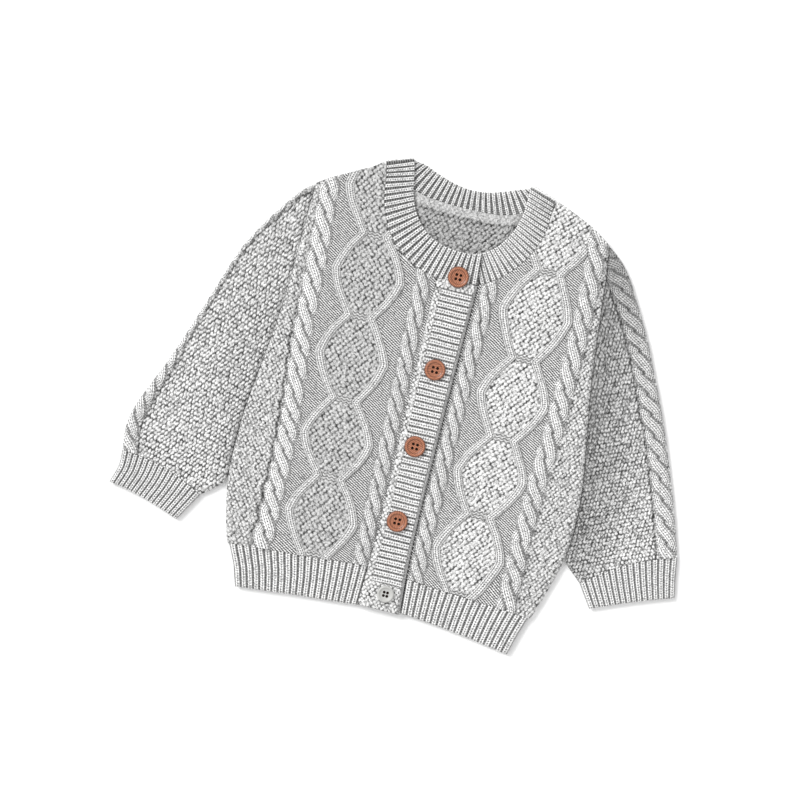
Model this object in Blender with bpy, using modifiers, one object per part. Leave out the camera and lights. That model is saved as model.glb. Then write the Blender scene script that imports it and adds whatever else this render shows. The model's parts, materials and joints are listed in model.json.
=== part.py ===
"""Baby cardigan in cable knit, buttoned up and laid flat on its back.

Every panel is a wall of cloth of its own.  The back lies on the table, the two fronts lie on the back,
and the sleeves are flattened tubes.  Plan positions are in millimetres on the cutting table: X to the
wearer's left, Y towards the neck, Z up from the table.  SCALE turns them into metres at the very end.
"""

import math
from collections import namedtuple

import bmesh
import bpy
import numpy as np
from mathutils import Matrix

SCALE = 0.001  # metres in a millimetre
TABLE_CENTRE = (4.6, 3.28)  # the middle of the garment's outline, which becomes the origin

OUTWARDS = {"right": -1, "left": 1}  # the way out from the middle, along X

# Walls and layers
GAP = 0.3  # clearance between pieces laid together
SEAM = 0.5  # clearance between a panel and the ribs picked up along its curved edge
BACK_WALL = 3.0  # the back, its hem and the folded halves of the tubes rest on the table
FRONT_WALL = 2.8
LAYER = BACK_WALL + GAP  # height of the fronts' inner face
FRONT_FACE = LAYER + FRONT_WALL
UNDER_BAND_WALL = 2.1
TOP_BAND_WALL = 2.5
TOP_LAYER = LAYER + UNDER_BAND_WALL + GAP  # inner face of the overlapping band
BAND_CREST = TOP_LAYER + TOP_BAND_WALL + 0.3
SLEEVE_WALL = 2.7
SLIT = 0.3  # air between the two layers of a flattened tube

# Relief knitted into the outer faces
ROPE_RISE = 2.0
ROPE_HALF_WIDTH = 6.6
ROPE_SWING = 3.2  # how far each strand wanders from the rope's middle
LATTICE_RISE = 1.5
LATTICE_HALF_BAND = 3.3
LATTICE_NARROW = 8.3  # from a diamond column's middle to the band, where two diamonds meet
LATTICE_WIDE = 23.3  # the same at a diamond's widest point
DIAMOND_PUFF = 0.7
MOSS_RISE = 0.35
RIB_DEPTH = 0.9

# Spacing of the sections that the walls are lofted through
HEM_START = -126.0  # the first section of a front, before it is bowed to the hem's top line
FRONT_TOP = 168.0  # above the shoulders, where the last section is cut away
ROW_STEP = 4.9
SLEEVE_ROWS = 47
RIB_ROUND = 0.7  # how far a free edge is rounded in

# The body's knitted columns, as x at each height, bottom to top
BODY_COLUMNS = ("y", "right_side", "right_rope", "right_diamond", "right_inner_rope", "band_start",
                "band_end", "left_inner_rope", "left_diamond", "left_rope", "left_side")
BODY_ROWS = (
    (-159.0, -94.6, -82.0, -46.0, -11.5, -8.5, 22.5, 28.5, 60.0, 94.0, 102.5),
    (-145.0, -99.0, -83.0, -46.0, -12.5, -8.0, 22.0, 28.5, 60.0, 94.0, 106.2),
    (-130.0, -106.0, -84.0, -46.0, -13.0, -7.5, 21.0, 28.0, 60.0, 94.0, 111.0),
    (-110.0, -113.2, -83.5, -47.0, -13.6, -7.0, 20.0, 27.2, 59.0, 93.2, 119.0),
    (-85.0, -118.0, -83.5, -48.0, -13.8, -7.0, 19.3, 26.8, 59.2, 93.0, 125.6),
    (-60.0, -119.0, -84.0, -49.0, -14.2, -7.2, 19.0, 26.8, 60.0, 93.4, 127.4),
    (-30.0, -117.6, -86.0, -51.0, -15.0, -7.8, 19.0, 26.8, 61.2, 94.4, 125.6),
    (0.0, -114.2, -88.8, -52.8, -15.8, -8.4, 19.0, 27.0, 63.0, 96.2, 120.8),
    (30.0, -111.2, -91.8, -54.4, -16.6, -8.8, 19.2, 27.4, 63.4, 96.8, 115.8),
    (60.0, -109.4, -93.6, -56.0, -17.6, -9.2, 19.5, 28.0, 64.0, 97.2, 111.8),
    (90.0, -108.8, -95.0, -57.2, -18.8, -9.6, 20.0, 28.6, 64.6, 97.4, 108.8),
    (115.0, -108.4, -97.0, -59.6, -20.0, -10.0, 20.3, 29.0, 66.6, 96.6, 106.4),
    (140.0, -107.0, -98.6, -62.0, -21.0, -10.0, 20.5, 29.0, 69.0, 94.6, 102.6),
    (170.0, -104.0, -99.0, -64.0, -22.0, -10.0, 20.5, 29.0, 72.0, 92.0, 97.0),
)
BODY = dict(zip(BODY_COLUMNS, np.array(BODY_ROWS).T))

# Ropes: where the middle of one crossing lies along them, and how far apart the crossings are above and below it
ROPES = {"right_inner_rope": (-2.0, 16.7, 14.9), "left_inner_rope": (-11.0, 15.4, 15.6),
         "right_rope": (-9.0, 16.0, 14.2), "left_rope": (-9.0, 16.8, 15.0),
         "right_sleeve": (8.0, 14.7, 14.7), "left_sleeve": (8.0, 14.7, 14.7)}

# Heights at which neighbouring diamonds meet, bottom to top
DIAMOND_MEETS = {"right": (-182.0, -125.0, -68.0, -13.0, 47.0, 105.0, 166.0),
                 "left": (-183.0, -126.0, -69.0, -12.5, 45.0, 109.0, 170.0)}

# Lines across the body, as (x, y) rows from the wearer's right to the left
HEM_TOP = ((-106.2, -130.0), (-75.0, -127.6), (-46.0, -125.6), (-11.0, -122.4),
           (21.0, -124.4), (45.0, -126.2), (75.0, -128.0), (111.0, -130.4))
HEM_BOTTOM = ((-94.6, -158.8), (-75.0, -156.8), (-50.0, -154.2), (-25.0, -152.2), (-8.0, -150.6),
              (22.5, -149.2), (40.0, -150.4), (60.0, -152.6), (80.0, -155.4), (102.5, -159.0))
RIGHT_SHOULDER = ((-65.3, 156.6), (-70.0, 152.6), (-80.0, 147.0), (-90.0, 141.6), (-100.0, 136.0),
                  (-107.6, 130.8), (-121.0, 118.0))
LEFT_SHOULDER = ((60.1, 159.2), (70.0, 155.2), (80.0, 151.0), (90.0, 146.2), (97.0, 141.8),
                 (103.4, 137.2), (116.0, 126.0))

# The neckband's free and sewn edges, from its upper end round the neck to its end underneath
# Columns: free edge x, free edge y, sewn edge x, sewn edge y
NECK_RIGHT_FRONT = (
    (17.5, 109.6, 19.6, 88.2), (8.0, 108.0, 6.0, 86.6), (0.0, 108.0, -5.0, 86.2), (-8.0, 109.0, -14.0, 87.0),
    (-15.0, 111.0, -24.0, 89.8), (-22.0, 114.5, -34.0, 95.0), (-28.0, 119.5, -43.0, 102.2),
    (-33.0, 125.5, -50.6, 111.2), (-37.0, 133.0, -56.0, 122.4), (-40.0, 142.0, -59.4, 134.0),
    (-41.8, 151.0, -60.9, 145.2), (-44.4, 162.2, -63.0, 154.8))
NECK_BACK = (
    (-44.4, 162.2, -63.0, 154.8), (-38.0, 162.2, -51.0, 148.0), (-27.5, 158.4, -35.5, 141.2),
    (-15.0, 154.4, -18.5, 139.0), (-3.0, 152.4, -3.0, 138.5), (9.0, 153.0, 12.5, 139.0),
    (21.5, 156.6, 29.0, 141.2), (32.4, 160.8, 45.0, 148.8), (39.2, 163.0, 58.2, 156.8))
NECK_LEFT_FRONT = (
    (39.2, 163.0, 58.2, 156.8), (39.4, 152.6, 58.2, 146.6), (38.6, 143.2, 57.4, 136.4),
    (36.0, 133.6, 54.2, 125.0), (31.6, 124.6, 48.6, 113.8), (26.0, 117.2, 41.0, 103.6),
    (19.0, 111.8, 31.0, 94.4), (11.0, 108.8, 20.4, 88.8), (3.0, 108.0, 8.0, 86.8), (-3.5, 108.0, -2.0, 86.4))
NECK_RIBS = {"right_front": 27, "back": 25, "left_front": 27}
NECK_CLIMB = (-12.0, -5.0)  # x where the upper end climbs onto the end underneath
NECK_TUCK = (24.5, 20.5)  # x where the end underneath thins out
NECK_TOP_WALL = 2.6
NECK_FOLD = (0.0, 45.0, 90.0, 135.0, 180.0)  # turns of the sections that carry it over a shoulder

# Sleeves: the outer fold from the shoulder to the cuff, and the inner fold from the underarm to the cuff
UNDERARM_Y = -3.0
SLEEVES = {
    "right": {
        "outer_fold": ((-108.0, 130.2), (-113.0, 126.2), (-118.0, 121.4), (-125.0, 112.0), (-133.0, 100.5),
                       (-140.0, 89.0), (-146.5, 77.0), (-151.6, 64.0), (-156.0, 51.0), (-160.3, 38.0),
                       (-165.0, 24.0), (-170.0, 9.0), (-175.2, -6.0), (-180.8, -20.5), (-187.0, -35.0),
                       (-192.2, -48.0), (-195.6, -60.0), (-196.6, -71.0), (-194.8, -84.4)),
        "below_body": ((-119.6, -88.4), (-123.2, -93.0), (-128.2, -97.6), (-134.0, -102.0)),
        "body_end_y": -83.0,
        "cuff_outer": ((-194.8, -84.4), (-194.6, -95.4), (-198.3, -108.6)),
        "cuff_inner": ((-134.0, -102.0), (-140.0, -112.2), (-146.2, -122.8)),
        "cuff_top_bow": 4.0,
        "cuff_hem": ((-198.3, -108.6), (-185.0, -110.8), (-172.0, -114.0), (-159.0, -118.2), (-146.2, -122.8)),
        "ribs": 16,
        "rope_inset": 4.0,
    },
    "left": {
        "outer_fold": ((103.8, 136.8), (108.8, 133.4), (116.4, 126.4), (122.8, 118.4), (130.8, 105.0),
                       (138.8, 91.2), (147.4, 75.4), (154.0, 61.2), (160.8, 47.0), (167.4, 32.2),
                       (173.6, 17.8), (179.5, 2.8), (184.8, -11.2), (189.8, -25.0), (194.0, -37.0),
                       (197.6, -48.2), (200.2, -56.2), (202.6, -63.6)),
        "below_body": ((127.6, -86.2), (131.6, -90.6), (136.0, -94.4), (140.0, -97.8)),
        "body_end_y": -80.5,
        "cuff_outer": ((202.6, -63.6), (204.8, -78.4), (207.5, -92.0)),
        "cuff_inner": ((140.0, -97.8), (145.6, -106.0), (151.0, -113.8)),
        "cuff_top_bow": 4.0,
        "cuff_hem": ((207.5, -92.0), (195.0, -96.2), (180.0, -101.8), (165.0, -107.8), (151.0, -113.8)),
        "ribs": 16,
        "rope_inset": 8.0,
    },
}

# Ribs of the straight welts
HEM_RIBS = {"right": 20, "left": 18}
BAND_RIB_PITCH = 4.5
BAND_RIB_TOP, BAND_RIB_BOTTOM = 80.0, -131.0
BAND_TOP, BAND_BOTTOM = 85.1, -150.2
BAND_TOP_TILT = 2.2  # how much higher the bands' top is at its free edge, where it meets the neckband
SEED_COLUMN = 6.0  # plain edge of the band before its ribs start

# Buttons: name, x, y, radius and look
BUTTONS = (("button_1", 5.2, 90.2, 7.5, "brown_button"), ("button_2", 5.0, 23.0, 7.5, "brown_button"),
           ("button_3", 4.4, -32.6, 7.5, "brown_button"), ("button_4", 5.0, -86.6, 7.5, "brown_button"),
           ("button_5", 9.4, -138.2, 6.0, "pale_button"))
BUTTON_THICKNESS = 2.6
BUTTON_PROFILE = ((0.0, 0.66), (0.68, 0.66), (0.78, 1.0), (1.0, 0.6), (0.86, 0.0), (0.0, 0.0))  # radius, height
BUTTON_HOLE_RADIUS = 0.85
BUTTON_HOLE_OFFSET = 2.2
BUTTON_SEGMENTS = 18

# Looks: colour, roughness and metallic value
LOOKS = {"heather_knit": ((0.62, 0.62, 0.61), 0.95, 0.0),
         "brown_button": ((0.42, 0.16, 0.07), 0.45, 0.0),
         "pale_button": ((0.66, 0.66, 0.64), 0.4, 0.0)}
SMOOTH_ANGLE = math.radians(22)


def smooth(keys, values, at):
    """A cornerless curve through a table's values, read at the given keys."""
    keys, values = np.asarray(keys, float), np.asarray(values, float)
    slopes = np.gradient(values, keys)
    at = np.clip(at, keys[0], keys[-1])
    low = np.clip(np.searchsorted(keys, at) - 1, 0, len(keys) - 2)
    span = keys[low + 1] - keys[low]
    t = (at - keys[low]) / span
    start = (1 + 2 * t) * (1 - t) ** 2 * values[low] + t * (1 - t) ** 2 * span * slopes[low]
    end = t * t * (3 - 2 * t) * values[low + 1] + t * t * (t - 1) * span * slopes[low + 1]
    return start + end


def body(column, y):
    return smooth(BODY["y"], BODY[column], y)


def along(points, shares):
    """Points at the given shares of the length of a smooth line through the table's points."""
    points = np.asarray(points, float)
    reach = np.concatenate([[0.0], np.cumsum(np.linalg.norm(np.diff(points[:, :2], axis=0), axis=1))])
    at = np.asarray(shares, float) * reach[-1]
    return np.stack([smooth(reach, points[:, k], at) for k in range(points.shape[1])], axis=-1)


def height_at(line, x):
    """The y of a line of (x, y) rows."""
    line = np.array(sorted(line))
    return smooth(line[:, 0], line[:, 1], x)


def patch(start, end, first_side, last_side):
    """Plan points between four edge curves: start and end run along w, the sides run along t."""
    t = np.linspace(0, 1, len(first_side))[:, None, None]
    w = np.linspace(0, 1, len(start))[None, :, None]
    ruled = (1 - t) * start[None] + t * end[None] + (1 - w) * first_side[:, None] + w * last_side[:, None]
    corners = (1 - t) * ((1 - w) * start[0] + w * start[-1]) + t * ((1 - w) * end[0] + w * end[-1])
    return ruled - corners


def make_material(name, look):
    colour, roughness, metallic = LOOKS[look]
    material = bpy.data.materials.new(f"{name}_{look}")
    material.use_nodes = True
    shader = material.node_tree.nodes["Principled BSDF"]
    shader.inputs["Base Color"].default_value = (*colour, 1.0)
    shader.inputs["Roughness"].default_value = roughness
    shader.inputs["Metallic"].default_value = metallic
    return material


def new_part(name, mesh, look):
    mesh.shade_smooth()
    mesh.set_sharp_from_angle(angle=SMOOTH_ANGLE)
    mesh.materials.append(make_material(name, look))
    part = bpy.data.objects.new(name, mesh)
    cardigan.objects.link(part)
    return part


def new_cutter(name, mesh):
    cutter = bpy.data.objects.new(name, mesh)
    cutter.hide_render, cutter.display_type = True, "WIRE"
    cutters.objects.link(cutter)
    return cutter


def mesh_from(name, verts, faces):
    """A mesh in metres about the origin, with its normals facing out."""
    verts = (np.asarray(verts, float) - (*TABLE_CENTRE, 0.0)) * SCALE
    mesh = bpy.data.meshes.new(name)
    mesh.from_pydata(verts.tolist(), [], faces)
    work = bmesh.new()
    work.from_mesh(mesh)
    bmesh.ops.triangulate(work, faces=[face for face in work.faces if len(face.verts) > 4])
    bmesh.ops.recalc_face_normals(work, faces=work.faces)
    work.to_mesh(mesh)
    work.free()
    return mesh


def loft(name, rings, look="heather_knit"):
    """A solid through a row of closed sections that all have the same number of points."""
    rings = np.asarray(rings, float)
    rows, size = rings.shape[:2]
    faces = [tuple(range(size)), tuple((rows - 1) * size + i for i in range(size))]
    for row in range(rows - 1):
        for i in range(size):
            j = (i + 1) % size
            faces.append((row * size + i, row * size + j, (row + 1) * size + j, (row + 1) * size + i))
    return new_part(name, mesh_from(name, rings.reshape(-1, 3), faces), look)


def tube(name, outer, inner, look="heather_knit"):
    """An open tube: outer and inner sections joined by a flat rim at each end."""
    outer, inner = np.asarray(outer, float), np.asarray(inner, float)
    rows, size = outer.shape[:2]
    shift = rows * size
    faces = []
    for row in range(rows - 1):
        for i in range(size):
            j = (i + 1) % size
            a, b, c, d = row * size + i, row * size + j, (row + 1) * size + j, (row + 1) * size + i
            faces += [(a, b, c, d), (shift + d, shift + c, shift + b, shift + a)]
    for row in (0, rows - 1):
        for i in range(size):
            j = (i + 1) % size
            faces.append((row * size + i, row * size + j, shift + row * size + j, shift + row * size + i))
    verts = np.concatenate([outer.reshape(-1, 3), inner.reshape(-1, 3)])
    return new_part(name, mesh_from(name, verts, faces), look)


def slab(name, outline, bottom, top):
    """The mesh of a flat outline extruded between two heights."""
    curve = bpy.data.curves.new(name, "CURVE")
    curve.dimensions, curve.fill_mode = "2D", "BOTH"
    curve.extrude = (top - bottom) / 2 * SCALE
    spline = curve.splines.new("POLY")
    spline.points.add(len(outline) - 1)
    for point, (x, y) in zip(spline.points, outline):
        point.co = ((x - TABLE_CENTRE[0]) * SCALE, (y - TABLE_CENTRE[1]) * SCALE, 0, 1)
    spline.use_cyclic_u = True
    drawn = bpy.data.objects.new(name, curve)
    cutters.objects.link(drawn)
    bpy.context.view_layer.update()
    mesh = bpy.data.meshes.new_from_object(drawn.evaluated_get(bpy.context.evaluated_depsgraph_get()))
    bpy.data.objects.remove(drawn)
    work = bmesh.new()
    work.from_mesh(mesh)
    bmesh.ops.remove_doubles(work, verts=work.verts, dist=1e-6)
    bmesh.ops.translate(work, verts=work.verts, vec=(0, 0, (top + bottom) / 2 * SCALE))
    bmesh.ops.recalc_face_normals(work, faces=work.faces)
    work.to_mesh(mesh)
    work.free()
    return mesh


def cut(part, cutter):
    boolean = part.modifiers.new(cutter.name, "BOOLEAN")
    boolean.operation, boolean.solver, boolean.object = "DIFFERENCE", "EXACT", cutter


def rope_height(rope, offset, reach):
    """Height of a two-strand rope over its ground, at an offset across it and a distance along it."""
    crossing, above, below = ROPES[rope]
    turn = math.pi * (0.5 + (reach - crossing) / (above if reach > crossing else below))
    lift = 0.0
    for strand in (0.0, math.pi):
        swing = np.cos(turn + strand)
        across = offset - ROPE_SWING * (1.5 * swing - 0.5 * swing ** 3)
        crown = np.sqrt(np.clip(1 - (across / (ROPE_HALF_WIDTH - ROPE_SWING + 0.6)) ** 2, 0, 1))
        lift = np.maximum(lift, crown * (0.72 + 0.28 * np.sin(turn + strand)))
    return ROPE_RISE * lift


def lattice_offset(side, y):
    """Distance from a diamond column's middle to the middle of its lattice bands."""
    meets = np.array(DIAMOND_MEETS[side])
    low = np.clip(np.searchsorted(meets, y) - 1, 0, len(meets) - 2)
    share = (y - meets[low]) / (meets[low + 1] - meets[low])
    swell = 0.4 * (1 - np.abs(2 * share - 1)) + 0.6 * np.sin(math.pi * share)
    return LATTICE_NARROW + (LATTICE_WIDE - LATTICE_NARROW) * swell


def front_section(side, height, hem_blend):
    """One closed section of a front panel, from its band edge over the relief to its side and back inside."""
    sign = OUTWARDS[side]
    edge = body("band_start", height) - GAP if side == "right" else body("band_end", height) + GAP
    inner, middle, outer = (body(f"{side}_{part}", height) for part in ("inner_rope", "diamond", "rope"))
    limit = body(f"{side}_side", height)
    reach = lattice_offset(side, height)
    half, tread = LATTICE_HALF_BAND, LATTICE_HALF_BAND * 0.4
    columns = [(edge, 0.0)]
    for offset in (-ROPE_HALF_WIDTH * 0.5, 0.0, ROPE_HALF_WIDTH * 0.5):
        columns.append((inner + sign * offset, rope_height(f"{side}_inner_rope", sign * offset, height)))
    columns.append((inner + sign * ROPE_HALF_WIDTH, 0.0))
    for offset, rise in ((-reach - half, 0.0), (-reach - tread, LATTICE_RISE), (-reach + tread, LATTICE_RISE),
                         (-reach + half, MOSS_RISE), (0.0, DIAMOND_PUFF), (reach - half, MOSS_RISE),
                         (reach - tread, LATTICE_RISE), (reach + tread, LATTICE_RISE), (reach + half, 0.0)):
        columns.append((middle + sign * offset, rise))
    columns.append((outer - sign * ROPE_HALF_WIDTH, 0.0))
    for offset in (-ROPE_HALF_WIDTH * 0.5, 0.0, ROPE_HALF_WIDTH * 0.5):
        columns.append((outer + sign * offset, rope_height(f"{side}_rope", sign * offset, height)))
    columns.append((outer + sign * ROPE_HALF_WIDTH, MOSS_RISE))
    rounding = FRONT_WALL * 0.9
    columns += [(limit - sign * rounding, MOSS_RISE), (limit - sign * rounding * 0.3, -FRONT_WALL * 0.4),
                (limit, -FRONT_WALL * 0.85)]
    xs = [columns[0][0]]
    for x, _ in columns[1:]:
        xs.append(sign * max(sign * x, sign * xs[-1] + 0.5))
    overrun = sign * (xs[-1] - limit)
    if overrun > 0:
        crowded = sign * (limit - edge) * 0.7
        xs = [x if sign * (x - edge) < crowded else x - overrun * (x - edge) / abs(xs[-1] - edge) for x in xs]
    inside = np.linspace(xs[-1], xs[0], 5)
    plan = np.concatenate([xs, inside])
    heights = np.concatenate([[FRONT_FACE + rise for _, rise in columns], np.full(5, LAYER)])
    droop = height_at(HEM_TOP, plan) - HEM_START
    return np.stack([plan, height + droop * hem_blend, heights], axis=-1)


def make_front(side):
    rows = int(round((FRONT_TOP - HEM_START) / ROW_STEP)) + 1
    heights = np.linspace(HEM_START, FRONT_TOP, rows)
    blends = np.clip(1 - (heights - HEM_START) / (4 * ROW_STEP), 0, 1)
    rings = [front_section(side, y, blend) for y, blend in zip(heights, blends)]
    front = loft(f"{side}_front", rings)
    above = slab(f"above_{side}_front", above_front(side), -LAYER, 4 * FRONT_FACE)
    cut(front, new_cutter(f"above_{side}_front", above))


def sewn_edge(rows, clearance):
    """The neckband's sewn edge moved away from the band, as plan points."""
    line = along(rows, np.linspace(0, 1, 40))
    out = line[:, 2:] - line[:, :2]
    return line[:, 2:] + clearance * out / np.linalg.norm(out, axis=1, keepdims=True)


def above_front(side):
    """The outline of all that lies above a front's neckline and shoulder."""
    if side == "right":
        neck, shoulder = sewn_edge(NECK_RIGHT_FRONT, GAP), RIGHT_SHOULDER
    else:
        neck, shoulder = sewn_edge(NECK_LEFT_FRONT, GAP)[::-1], LEFT_SHOULDER
    slope = along(shoulder, np.linspace(0, 1, 16))
    beyond = OUTWARDS[side] * 150.0
    far = [(beyond, slope[-1][1] - 25.0), (beyond, 220.0), (neck[0][0], 220.0)]
    return [*map(tuple, neck), *map(tuple, slope), *far]


def back_outline():
    """Round the back: up the wearer's left side, along the shoulders and neck, down the right side."""
    heights = np.linspace(-130.2, 137.0, 34)
    left = [(float(body("left_side", y)), float(y)) for y in heights]
    left_slope = along(LEFT_SHOULDER[:-1], np.linspace(0.985, 0, 9))
    neck = sewn_edge(NECK_BACK, GAP)[::-1]
    right_slope = along(RIGHT_SHOULDER[:-1], np.linspace(0, 0.985, 9))
    right = [(float(body("right_side", y)), float(y)) for y in np.linspace(130.2, -129.8, 34)]
    hem_x = np.linspace(right[-1][0], left[0][0], 26)[1:-1]
    hem = [(float(x), float(height_at(HEM_TOP, x))) for x in hem_x]
    return [*left, *map(tuple, left_slope), *map(tuple, neck), *map(tuple, right_slope), *right, *hem]


def side_line(side, low, high, count):
    heights = np.linspace(low, high, count)
    return np.stack([body(f"{side}_side", heights), heights], axis=-1)


def hem_patch(first_edge, last_edge, columns, rows):
    """Plan points of a stretch of the hem; rows run down, columns run across."""
    xs = np.linspace(0, 1, columns)
    top_x = first_edge[0, 0] + (last_edge[0, 0] - first_edge[0, 0]) * xs
    low_x = first_edge[-1, 0] + (last_edge[-1, 0] - first_edge[-1, 0]) * xs
    top = np.stack([top_x, height_at(HEM_TOP, top_x) - SEAM], axis=-1)
    low = np.stack([low_x, height_at(HEM_BOTTOM, low_x)], axis=-1)
    first = along(first_edge, np.linspace(0, 1, rows))
    last = along(last_edge, np.linspace(0, 1, rows))
    first[0], first[-1], last[0], last[-1] = top[0], low[0], top[-1], low[-1]
    return patch(top, low, first, last)


def rib_wave(count):
    """Crests and valleys, one pair for each rib, as a share of the rib's depth."""
    return np.where(np.arange(2 * count + 1) % 2 == 1, 0.0, -1.0)


def make_front_hem(side):
    """Sections run across the hem, one for each crest and valley, each a closed strip from top to bottom."""
    ribs = HEM_RIBS[side]
    columns = 2 * ribs + 1
    if side == "right":
        first, last = side_line("right", -130.4, -158.8, 5), np.array([(-7.6, -122.6), (-8.6, -150.6)])
    else:
        first, last = np.array([(21.2, -124.7), (22.9, -149.2)]), side_line("left", -130.8, -159.0, 5)
    plan = hem_patch(first, last, columns, 5)
    wave = rib_wave(ribs) * RIB_DEPTH
    edge_column = 0 if side == "right" else columns - 1
    rings = []
    for c in range(columns):
        top, quarter, middle, low, bottom = plan[:, c]
        face = LAYER + 0.6 if c == edge_column else FRONT_FACE + 0.3 + wave[c]
        rim = max(face - RIB_ROUND * 1.6, LAYER + 0.3)
        rings.append([(*top, face), (*middle, face), (*(bottom + (low - bottom) * 0.25), (2 * face + rim) / 3),
                      (*bottom, rim), (*bottom, LAYER), (*middle, LAYER), (*top, LAYER)])
    loft(f"{side}_hem", rings)


def make_back():
    new_part("back", slab("back", back_outline(), 0.0, BACK_WALL), "heather_knit")


def make_back_hem():
    plan = hem_patch(side_line("right", -130.4, -158.8, 5), side_line("left", -130.8, -159.0, 5), 31, 5)
    rings = [[(*plan[0, c], BACK_WALL), (*plan[2, c], BACK_WALL), (*plan[4, c], BACK_WALL),
              (*plan[4, c], 0.0), (*plan[2, c], 0.0), (*plan[0, c], 0.0)] for c in range(plan.shape[1])]
    loft("back_hem", rings)


def band_ring(y, section):
    """A section across the bands from (x, z) rows, tilted near the top to meet the neckband."""
    tilt = BAND_TOP_TILT * float(np.clip((y - BAND_RIB_TOP) / (BAND_TOP - BAND_RIB_TOP), 0, 1))
    start, end = float(body("band_start", y)), float(body("band_end", y))
    return [(x, y + tilt * (x - start) / (end - start), z) for x, z in section]


def make_buttonhole_band():
    """The overlapping band: it climbs from the right front onto the band underneath, with ribs across it."""
    ribs = int(round((BAND_RIB_TOP - BAND_RIB_BOTTOM) / BAND_RIB_PITCH))
    rib_rows = np.linspace(BAND_RIB_TOP, BAND_RIB_BOTTOM, 2 * ribs + 1)
    rows = [(BAND_TOP, 0.0), *zip(rib_rows, rib_wave(ribs) * RIB_DEPTH), (-137.0, -0.2), (-144.0, -0.2),
            (BAND_BOTTOM + 0.8, -0.5), (BAND_BOTTOM, -1.2)]
    rings = []
    for y, dip in rows:
        start, end = float(body("band_start", y)), float(body("band_end", y))
        ramp = start + SEED_COLUMN * 0.8
        rings.append(band_ring(y, (
            (start, FRONT_FACE), (ramp, BAND_CREST - 0.3), (ramp + 1.5, BAND_CREST + dip),
            (end - 3.2, BAND_CREST + dip), (end - 0.8, BAND_CREST - 0.2), (end, BAND_CREST - 1.2),
            (end, TOP_LAYER), (ramp - 1.0, TOP_LAYER), (start, LAYER))))
    loft("buttonhole_band", rings)


def make_button_band():
    """The band underneath, sewn to the left front and hidden by the one above."""
    rings = []
    for y in np.linspace(BAND_TOP, BAND_BOTTOM, 12):
        start, end = float(body("band_start", y)) + SEED_COLUMN + 0.6, float(body("band_end", y))
        rings.append(band_ring(y, ((start, LAYER), (end, LAYER), (end, LAYER + UNDER_BAND_WALL),
                                   (start, LAYER + UNDER_BAND_WALL))))
    loft("button_band", rings)


NeckStation = namedtuple("NeckStation", "free sewn roll outer_dip inner_dip lift wall")


def neck_stretch(rows, ribs, roll):
    """One station for each crest and valley.  Ribs show on the outer face in front and the inner face behind."""
    stations = []
    for point, dip in zip(along(rows, np.linspace(0, 1, 2 * ribs + 1)), rib_wave(ribs) * RIB_DEPTH):
        lift, wall = 0.0, BACK_WALL
        if rows is NECK_RIGHT_FRONT:
            climbed = float(np.interp(point[0], NECK_CLIMB, (0, 1)))
            lift = (TOP_LAYER - LAYER) * climbed
            wall += (NECK_TOP_WALL - BACK_WALL) * climbed
        elif rows is NECK_LEFT_FRONT:
            tucked = float(np.interp(-point[0], (-NECK_TUCK[0], -NECK_TUCK[1]), (0, 1)))
            wall += (UNDER_BAND_WALL - BACK_WALL) * tucked
            dip *= 1 - tucked
        outer_dip, inner_dip = (0.0, dip) if roll else (dip, 0.0)
        stations.append(NeckStation(point[:2], point[2:], roll, outer_dip, inner_dip, lift, wall))
    return stations


def neck_fold(row, rolls):
    return [NeckStation(np.array(row[:2]), np.array(row[2:]), roll, 0.0, 0.0, 0.0, BACK_WALL) for roll in rolls]


def neck_section(station):
    """A section across the neckband, turned by its roll about the middle of the fold over the shoulder."""
    across = (station.sewn - station.free) / np.linalg.norm(station.sewn - station.free)
    outward = np.array([across[1], -across[0]])
    outward *= 1 if outward[1] > 0 else -1
    turn = math.radians(station.roll)
    normal = np.array([*(outward * math.sin(turn)), math.cos(turn)])
    middle = np.array([0.0, 0.0, (LAYER + BACK_WALL) / 2 + station.lift]) + normal * LAYER / 2
    low, high = -BACK_WALL / 2 - station.inner_dip, station.wall - BACK_WALL / 2 + station.outer_dip
    soft = (high - low) * 0.28
    section = ((0.0, high - soft), (0.07, high), (0.93, high), (1.0, high - 0.4), (1.0, low), (0.06, low),
               (0.0, low + soft))
    return [middle + (*(station.free + (station.sewn - station.free) * share), 0.0) + normal * out
            for share, out in section]


def make_neckband():
    """A ribbed strip from its upper front end, over the right shoulder, round the back and over the left one."""
    stations = neck_stretch(NECK_RIGHT_FRONT, NECK_RIBS["right_front"], 0.0)[:-1]
    stations += neck_fold(NECK_RIGHT_FRONT[-1], NECK_FOLD)
    stations += neck_stretch(NECK_BACK, NECK_RIBS["back"], 180.0)[1:-1]
    stations += neck_fold(NECK_BACK[-1], NECK_FOLD[::-1])
    stations += neck_stretch(NECK_LEFT_FRONT, NECK_RIBS["left_front"], 0.0)[1:]
    loft("neckband", [neck_section(station) for station in stations])


def tube_profile(width, relief, wall, columns):
    """Outer and inner section of a flattened tube: distance in from the outer fold, and height."""
    full = 2 * wall + SLIT
    top = [(0.0, full * 0.52), (0.7, full * 0.82), (2.2, full * 0.97)]
    top += [(x, full + rise) for x, rise in zip(columns, relief)]
    top += [(width - 2.2, full * 0.97), (width - 0.7, full * 0.82), (width, full * 0.52)]
    under = [(width - 0.8, full * 0.14), (width - 2.4, 0.0), (width * 0.75, 0.0), (width * 0.5, 0.0),
             (width * 0.25, 0.0), (2.4, 0.0), (0.8, full * 0.14)]
    outer = np.array(top + under)
    inner = outer.copy()
    inner[:, 0] = np.clip(outer[:, 0], wall, width - wall)
    inner[:len(top), 1] = full - wall
    inner[len(top):, 1] = wall
    inner[0, 1] = inner[len(top) - 1, 1] = wall + SLIT / 2
    return outer, inner


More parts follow.
